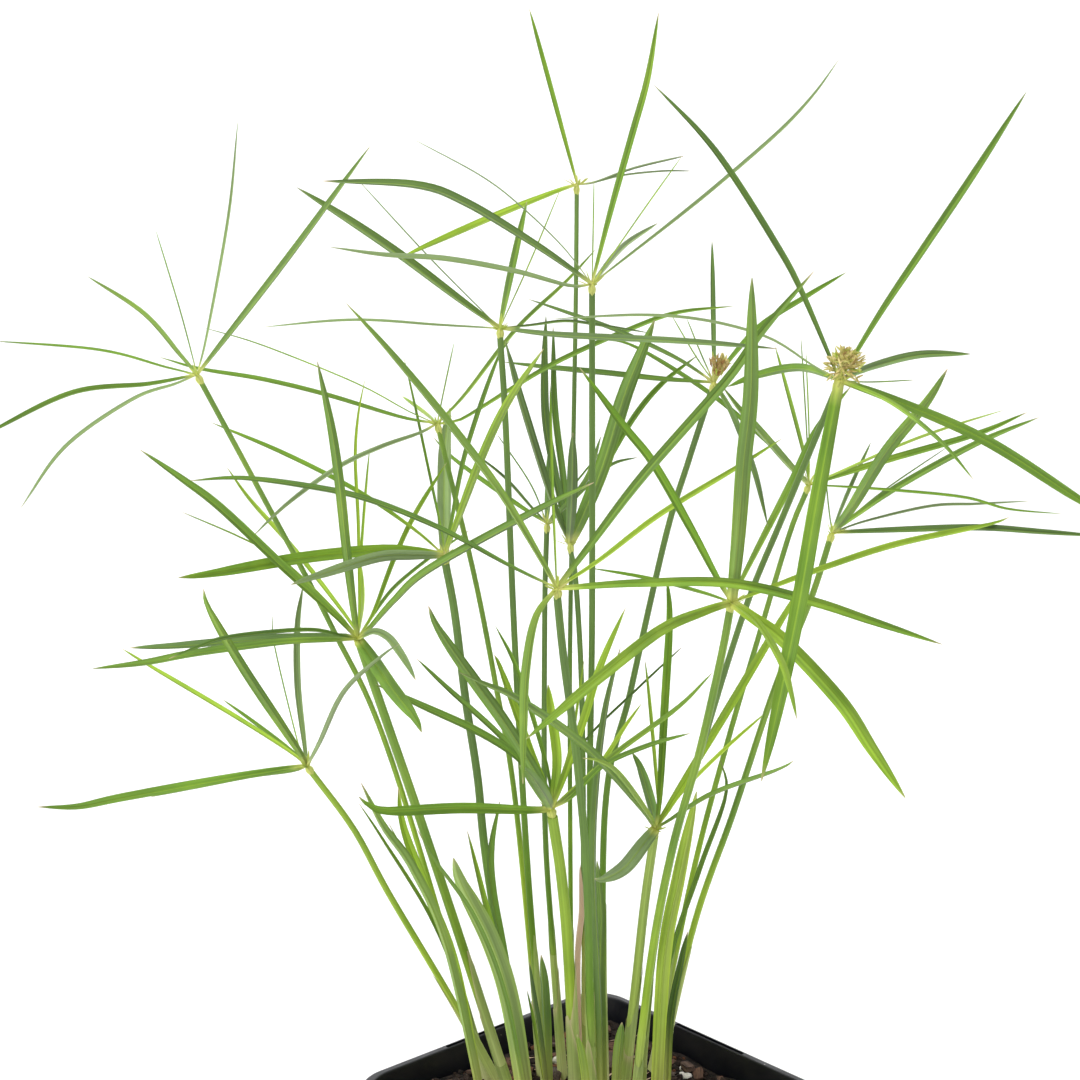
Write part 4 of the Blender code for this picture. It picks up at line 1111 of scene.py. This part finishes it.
def grow(plants, add, seed, name, finish, slot, node, sharp):
    """Make a piece of each plant part with its own random draws, to stand for its own node."""
    for number, plant in enumerate(plants, 1):
        surface = Surface()
        add(surface, plant, np.random.default_rng(seed + number))
        surface.finish(f"{name}_{number:02d}", finish, slot, (f"{node}_{number:02d}",), sharp)


def pot_ring(side, heights):
    """Return a square with round corners at a height or at one for each point.

    Each side has points that stay where a slot starts and ends, and a quarter
    circle follows it. The four quarters are turned a right angle on.
    """
    sizes = bpy.context.scene.sedge_pot
    corner = max(sizes.corner - (sizes.side - side) * CORNER_SHRINK, CORNER_LEAST)
    half = side / 2.0 - corner
    edge = SLOT_HALF + SLOT_EDGE
    between = (half + edge) / 2.0
    stations = np.array([-half, -between, -edge, *(SLOT_STATIONS * SLOT_HALF), edge, between])
    angles = np.linspace(0.0, math.pi / 2.0, CORNER_STEPS + 1)[:-1]
    x = np.concatenate([np.full(len(stations), side / 2.0), half + corner * np.cos(angles)])
    y = np.concatenate([stations, half + corner * np.sin(angles)])
    turns = POT_TURN + np.arange(4)[:, None] * math.pi / 2.0
    ring = np.stack([x * np.cos(turns) - y * np.sin(turns),
                     x * np.sin(turns) + y * np.cos(turns)], -1).reshape(-1, 2)
    return np.column_stack([ring, np.broadcast_to(heights, len(ring))])


def in_slot():
    """Return 1 for the points of a pot ring that lie along a slot, and 0 for the rest."""
    quarter = [0] * 3 + [1] * len(SLOT_STATIONS) + [0] * (2 + CORNER_STEPS)
    return np.tile(quarter, 4)


def pot_side_at(height):
    """Return the outer side of the tapered wall at a height."""
    sizes = bpy.context.scene.sedge_pot
    top = sizes.side - 2.0 * sizes.rim_step
    return sizes.foot_side + (top - sizes.foot_side) * height / sizes.height


def pot_profile():
    """Return the pot's profile: sides of the square, heights, and 1 where the slots sink it.

    It runs from under the foot up the wall, over the lip and down to the floor inside.
    """
    sizes = bpy.context.scene.sedge_pot
    top, edge = sizes.height, sizes.rim_edge
    band = top - sizes.rim_band
    lip = sizes.side - 2.0 * sizes.rim_ledge
    slot_out = sizes.side - 2.0 * SLOT_INSET
    slot_in = slot_out - 2.0 * SLOT_WIDTH
    inner_top = pot_side_at(band) - 2.0 * sizes.wall
    return (
        (sizes.foot_side - 2.6 * MM, 0.0, 0),
        (sizes.foot_side - 1.2 * MM, 0.25 * MM, 0),
        (sizes.foot_side, 1.2 * MM, 0),
        (pot_side_at(band / 2.0), band / 2.0, 0),
        (pot_side_at(band - 0.4 * MM), band - 0.4 * MM, 0),
        (pot_side_at(band) + 0.3 * MM, band, 0),
        (sizes.side - 2.0 * edge, band, 0),
        (sizes.side - 0.5 * edge, band + 0.4 * edge, 0),
        (sizes.side, band + edge, 0),
        (sizes.side, top - edge, 0),
        (sizes.side - 0.4 * edge, top - 0.45 * edge, 0),
        (sizes.side - 1.1 * edge, top - 0.12 * edge, 0),
        (sizes.side - 2.0 * edge, top, 0),
        (slot_out, top, 0),
        (slot_out - SLOT_EDGE, top, 1),
        (slot_in + SLOT_EDGE, top, 1),
        (slot_in, top, 0),
        (lip + 0.7 * MM, top, 0),
        (lip + 0.1 * MM, top - 0.2 * MM, 0),
        (lip - 0.3 * MM, top - 0.8 * MM, 0),
        (lip - edge, band - 2.0 * MM, 0),
        (lip - edge - 0.3 * MM, band - 2.6 * MM, 0),
        (inner_top - 1.0 * MM, band - 4.0 * MM, 0),
        (sizes.foot_side - 2.0 * sizes.wall, sizes.floor, 0),
    )


def drill_drains(pot):
    """Cut four round holes through the pot's floor, towards its corners."""
    drill = Surface()
    turn = np.arange(DRAIN_SIDES) * 2.0 * math.pi / DRAIN_SIDES
    heights = np.array([-1.0, 3.0])[:, None] * bpy.context.scene.sedge_pot.floor
    for hole in range(4):
        angle = POT_TURN + math.pi / 4.0 + hole * math.pi / 2.0
        x = DRAIN_REACH * math.cos(angle) + DRAIN_RADIUS * np.cos(turn)
        y = DRAIN_REACH * math.sin(angle) + DRAIN_RADIUS * np.sin(turn)
        drill.add(np.stack(np.broadcast_arrays(x, y, heights), -1))
    tool = drill.finish("drill", pot.data.materials[0], "pot")
    cut = pot.modifiers.new("Drain holes", "BOOLEAN")
    cut.object = tool
    cut.solver = "EXACT"
    bpy.context.view_layer.update()
    drilled = pot.evaluated_get(bpy.context.evaluated_depsgraph_get())
    pot.data = bpy.data.meshes.new_from_object(drilled)
    pot.modifiers.clear()
    bpy.data.objects.remove(tool)


def soil_side():
    """Return the side of the square that the soil fills under the rim."""
    sizes = bpy.context.scene.sedge_pot
    inner = pot_side_at(sizes.height - sizes.rim_band) - 2.0 * sizes.wall
    return inner - 2.0 * SOIL_CLEAR


def soil_ring(side, height):
    """Return a pot ring as points spread evenly over its point numbers."""
    ring = pot_ring(side, height)
    closed = np.vstack([ring, ring[:1]])
    place = np.linspace(0.0, len(ring), SOIL_AROUND + 1)[:-1]
    return np.column_stack([np.interp(place, np.arange(len(closed)), one) for one in closed.T])


def value_noise(places, cell, seed):
    """Return noise from -1 to 1 at places in the plane.

    Random values stand on a square lattice with the cell's spacing, and a
    place takes the mean of the four round it, weighted by 3t^2 - 2t^3.
    """
    table = np.random.default_rng(seed).uniform(-1.0, 1.0, (NOISE_CELLS, NOISE_CELLS))
    spot = places / cell
    low = np.floor(spot).astype(int)
    t = smooth_step(spot - low)
    x, y = low[..., 0] % NOISE_CELLS, low[..., 1] % NOISE_CELLS
    right, up = (x + 1) % NOISE_CELLS, (y + 1) % NOISE_CELLS
    near = table[x, y] * (1.0 - t[..., 0]) + table[right, y] * t[..., 0]
    far = table[x, up] * (1.0 - t[..., 0]) + table[right, up] * t[..., 0]
    return near * (1.0 - t[..., 1]) + far * t[..., 1]


def soil_height(places):
    """Return the soil's height: its level and lumps of 8, 3.6 and 1.6 mm, calm in the clump."""
    sizes = bpy.context.scene.sedge_pot
    lumps = sum(high * value_noise(places, cell * MM, seed) for high, cell, seed
                in ((1.3, 8.0, 1), (0.7, 3.6, 2), (0.35, 1.6, 3))) * MM
    calm = np.where(np.linalg.norm(places, axis=-1) < CLUMP_RADIUS, 0.6, 1.0)
    return sizes.height - sizes.soil_drop - 0.5 * MM + lumps * calm


def soil_places(chance, count, share):
    """Return places spread evenly over the soil, inside a share of its square."""
    corner = bpy.context.scene.sedge_pot.corner * 0.8
    half = soil_side() / 2.0 * share
    spots = chance.uniform(-half, half, (count * 2, 2))
    past = np.maximum(np.abs(spots) - (half - corner), 0.0)
    x, y = spots[np.linalg.norm(past, axis=1) < corner][:count].T
    turned = np.stack([x * math.cos(POT_TURN) - y * math.sin(POT_TURN),
                       x * math.sin(POT_TURN) + y * math.cos(POT_TURN)], -1)
    return np.column_stack([turned, soil_height(turned)])


def add_crumbs(chance):
    """Add the crumbs, rough little lumps of which one in six is brown."""
    middles = soil_places(chance, CRUMBS, 0.97)
    count = len(middles)
    width = bpy.context.scene.sedge_plant.crumb * np.exp(chance.normal(0.0, 0.42, (count, 1)))
    shape = width * chance.uniform(0.6, 1.2, (count, 3))
    shade = np.where(chance.random((count, 1, 1)) < 0.16, 0.8, 0.06)
    crumbs = Surface()
    add_lumps(crumbs, middles + [0.0, 0.0, 0.2 * MM], shape, turned_frames(chance, count, 0.0),
              chance, 4, 6, 0.12, 0.8, age=shade * chance.random((count, 1, 1)))
    crumbs.finish("soil_crumbs", peat_finish(), "soil", sharp=40.0)


def add_chips(chance):
    """Add the bark chips, broken boxes that lie nearly flat and are 0.3 to 0.7 as wide as long."""
    middles = soil_places(chance, CHIPS, 0.93)
    count = len(middles)
    long = bpy.context.scene.sedge_plant.chip * np.exp(chance.normal(-0.3, 0.45, count))
    shape = np.stack([long, long * chance.uniform(0.3, 0.7, count),
                      long * chance.uniform(0.16, 0.4, count)], -1)
    middles[:, 2] += shape[:, 2] * 0.6
    chips = Surface()
    add_lumps(chips, middles, shape, turned_frames(chance, count, 0.72), chance, 6, 7, 0.13, 0.5,
              age=np.clip(chance.normal(0.6, 0.4, (count, 1, 1)), 0.0, 1.0))
    chips.finish("bark_chips", bark_finish(), "soil", sharp=30.0)


def add_grains(chance):
    """Add the perlite, white grains that are nearly round."""
    middles = soil_places(chance, GRAINS, 0.93)
    count = len(middles)
    width = bpy.context.scene.sedge_plant.grain * np.exp(chance.normal(0.0, 0.35, (count, 1)))
    shape = width * chance.uniform(0.75, 1.2, (count, 3))
    grains = Surface()
    add_lumps(grains, middles + [0.0, 0.0, 0.4 * MM], shape, turned_frames(chance, count, 0.0),
              chance, 6, 8, 0.08, 0.8)
    grains.finish("perlite_grains", perlite_finish(), "soil", sharp=50.0)


def add_straws(chance):
    """Add the dead litter, thin straws 4 to 15 mm long that lie on the soil with one end up."""
    middles = soil_places(chance, STRAWS, 0.88)
    count = len(middles)
    way = unit(chance.normal(size=(count, 3)) * [1.0, 1.0, 0.2])
    half = chance.uniform(2.0, 7.5, count)[:, None] * MM
    start, end = middles - way * half, middles + way * half
    start[:, 2] = soil_height(start[:, :2]) + 0.5 * MM
    end[:, 2] = soil_height(end[:, :2]) + chance.uniform(0.3, 2.2, count) * MM
    straws = Surface()
    add_spindles(straws, start, end, chance.uniform(0.15, 0.5, count) * MM, 9, 5,
                 dry=1.0, age=chance.random((count, 1, 1)))
    straws.finish("dead_litter", dead_leaf_finish(), "soil")


def add_sweep():
    """Make the sheet of paper that runs out behind the pot and then bends up."""
    profile = np.column_stack([np.zeros(len(SWEEP)), SWEEP])
    run = curve(profile, np.linspace(0.0, 1.0, SWEEP_ROWS))
    run[:, 2] = np.maximum(run[:, 2], 0.0)
    sides = np.array([[-SWEEP_HALF, 0.0, 0.0], [SWEEP_HALF, 0.0, 0.0]])
    row = np.arange(SWEEP_ROWS - 1)[:, None] * 2
    mesh = bpy.data.meshes.new("white_sweep")
    mesh.from_pydata((run[:, None] + sides).reshape(-1, 3), [],
                     (row + np.array([0, 1, 3, 2])).tolist())
    mesh.shade_smooth()
    paper = new_finish("white_background_paper", 0.9, 1.4)
    shader = paper.node_tree.nodes["Principled BSDF"]
    shader.inputs["Base Color"].default_value = (PAPER_WHITE, PAPER_WHITE, PAPER_WHITE, 1.0)
    mesh.materials.append(paper)
    sweep = bpy.data.objects.new("white_sweep", mesh)
    bpy.context.scene.collection.objects.link(sweep)


def add_lights():
    """Make the soft lights, each turned to its aim, and the white room round them."""
    scene = bpy.context.scene
    for name, (place, aim, size, power) in LIGHTS.items():
        light = bpy.data.lights.new(name, "AREA")
        light.shape = "SQUARE"
        light.size = size
        light.energy = power
        lamp = bpy.data.objects.new(name, light)
        lamp.location = place
        back = np.subtract(place, aim)
        lamp.rotation_euler = (math.acos(back[2] / np.linalg.norm(back)), 0.0,
                               math.atan2(back[0], -back[1]))
        scene.collection.objects.link(lamp)
    world = bpy.data.worlds.new("white_room")
    world.use_nodes = True
    sky = world.node_tree.nodes["Background"]
    sky.inputs["Color"].default_value = (1.0, 1.0, 1.0, 1.0)
    sky.inputs["Strength"].default_value = DAYLIGHT
    scene.world = world
    # The view that scenes start with would turn the white ground grey
    scene.view_settings.view_transform = "Standard"


def add_camera():
    """Make the camera at the eye that the pixel places belong to."""
    scene = bpy.context.scene
    lens = bpy.data.cameras.new("picture_camera")
    lens.sensor_width = SENSOR
    lens.lens = FOCAL_PX / PICTURE_PX * SENSOR
    lens.clip_start = 0.02
    lens.clip_end = 20.0
    camera = bpy.data.objects.new("picture_camera", lens)
    camera.location = EYE
    camera.rotation_euler = (math.pi / 2.0 - TILT, 0.0, 0.0)
    scene.collection.objects.link(camera)
    scene.camera = camera


class SEDGE_OT_pot(bpy.types.Operator):
    """Make the moulded pot: tapered walls, a stepped rim, slots and drain holes"""

    bl_idname = "sedge.make_pot"
    bl_label = "Make the pot"

    def execute(self, context):
        sunk = in_slot() * context.scene.sedge_pot.slot_depth
        surface = Surface()
        surface.add([pot_ring(side, height - sunk * slotted)
                     for side, height, slotted in pot_profile()])
        drill_drains(surface.finish("moulded_pot", pot_finish(), "pot", ("pot",), 32.0))
        return {"FINISHED"}


class SEDGE_OT_soil(bpy.types.Operator):
    """Make the potting mix: the lumpy bed with crumbs, bark, perlite and litter"""

    bl_idname = "sedge.make_soil"
    bl_label = "Make the soil"

    def execute(self, context):
        sizes = context.scene.sedge_pot
        foot = sizes.foot_side - 2.0 * sizes.wall - 2.0 * GAP
        shoulder = sizes.height - sizes.rim_band - 4.0 * MM
        rings = [soil_ring(foot, sizes.floor + GAP), soil_ring(soil_side(), shoulder)]
        for share in np.linspace(1.0, 0.02, SOIL_ROWS):
            spots = rings[1][:, :2] * share
            rings.append(np.column_stack([spots, soil_height(spots)]))
        bed = Surface()
        bed.add(rings)
        bed.finish("soil_bed", peat_finish(), "soil", ("soil",), 80.0)
        chance = np.random.default_rng(41)
        for add_litter in (add_crumbs, add_chips, add_grains, add_straws):
            add_litter(chance)
        return {"FINISHED"}


class SEDGE_OT_stems(bpy.types.Operator):
    """Make the stems, each with the sheaths round its foot"""

    bl_idname = "sedge.make_stems"
    bl_label = "Make the stems"

    def execute(self, context):
        grow(UMBELS, add_stem, 100, "green_stem", stem_finish(), "stem", "stem", 60.0)
        return {"FINISHED"}


class SEDGE_OT_whorls(bpy.types.Operator):
    """Make the whorls of arching leaves at the stems' tops"""

    bl_idname = "sedge.make_whorls"
    bl_label = "Make the leaf whorls"

    def execute(self, context):
        grow(UMBELS, add_whorl, 200, "leaves", leaf_finish(), "leaf", "leaf_whorl", 70.0)
        return {"FINISHED"}


class SEDGE_OT_flowers(bpy.types.Operator):
    """Make the flower heads, clusters of flat spikelets over two of the whorls"""

    bl_idname = "sedge.make_flowers"
    bl_label = "Make the flower heads"

    def execute(self, context):
        finish = spikelet_finish()
        for number, umbel in enumerate(UMBELS, 1):
            if umbel.head:
                surface = Surface()
                add_flower_head(surface, umbel, np.random.default_rng(300 + number))
                surface.finish(f"flower_head_{number:02d}", finish, "leaf")
        return {"FINISHED"}


class SEDGE_OT_shoots(bpy.types.Operator):
    """Make the tufts of blades between the stems, and the dead leaf"""

    bl_idname = "sedge.make_shoots"
    bl_label = "Make the shoots"

    def execute(self, context):
        grow(SHOOTS, add_shoot, 400, "blades", leaf_finish(), "leaf", "shoot", 70.0)
        surface = Surface()
        add_shoot(surface, DRY_LEAF, np.random.default_rng(450))
        surface.finish("dead_leaf", dead_leaf_finish(), "dry_leaf", ("dry_leaf",), 70.0)
        return {"FINISHED"}


class SEDGE_OT_stage(bpy.types.Operator):
    """Make the white sweep, the soft lights and the camera"""

    bl_idname = "sedge.make_stage"
    bl_label = "Make the stage"

    def execute(self, context):
        add_sweep()
        add_lights()
        add_camera()
        return {"FINISHED"}


STEPS = (SEDGE_OT_stage, SEDGE_OT_pot, SEDGE_OT_soil, SEDGE_OT_stems, SEDGE_OT_whorls,
         SEDGE_OT_flowers, SEDGE_OT_shoots)
GROUPS = {"sedge_pot": SedgePotSizes, "sedge_plant": SedgePlantSizes,
          "sedge_colours": SedgeColours}


class SEDGE_PT_panel(bpy.types.Panel):
    """Lists the steps, and the sizes and colours that they use"""

    bl_label = "Umbrella sedge"
    bl_idname = "SEDGE_PT_panel"
    bl_space_type = "VIEW_3D"
    bl_region_type = "UI"
    bl_category = "Sedge"

    def draw(self, context):
        for step in STEPS:
            self.layout.operator(step.bl_idname)
        for name, group in GROUPS.items():
            box = self.layout.box()
            for field in group.__annotations__:
                box.prop(getattr(context.scene, name), field)


CLASSES = (*GROUPS.values(), *STEPS, SEDGE_PT_panel)


def register():
    """Register the classes and hang the property groups on the scene."""
    for one in CLASSES:
        bpy.utils.register_class(one)
    for name, group in GROUPS.items():
        setattr(bpy.types.Scene, name, bpy.props.PointerProperty(type=group))


def unregister():
    """Take the property groups and the classes away again."""
    for name in GROUPS:
        delattr(bpy.types.Scene, name)
    for one in reversed(CLASSES):
        bpy.utils.unregister_class(one)


def main():
    """Make every piece."""
    # Blender starts with a lamp and a camera of its own
    for thing in list(bpy.context.scene.objects):
        if thing.type in {"LIGHT", "CAMERA"}:
            bpy.data.objects.remove(thing)
    register()
    for step in STEPS:
        group, name = step.bl_idname.split(".")
        getattr(getattr(bpy.ops, group), name)()
    bpy.context.view_layer.update()


if __name__ == "__main__":
    main()
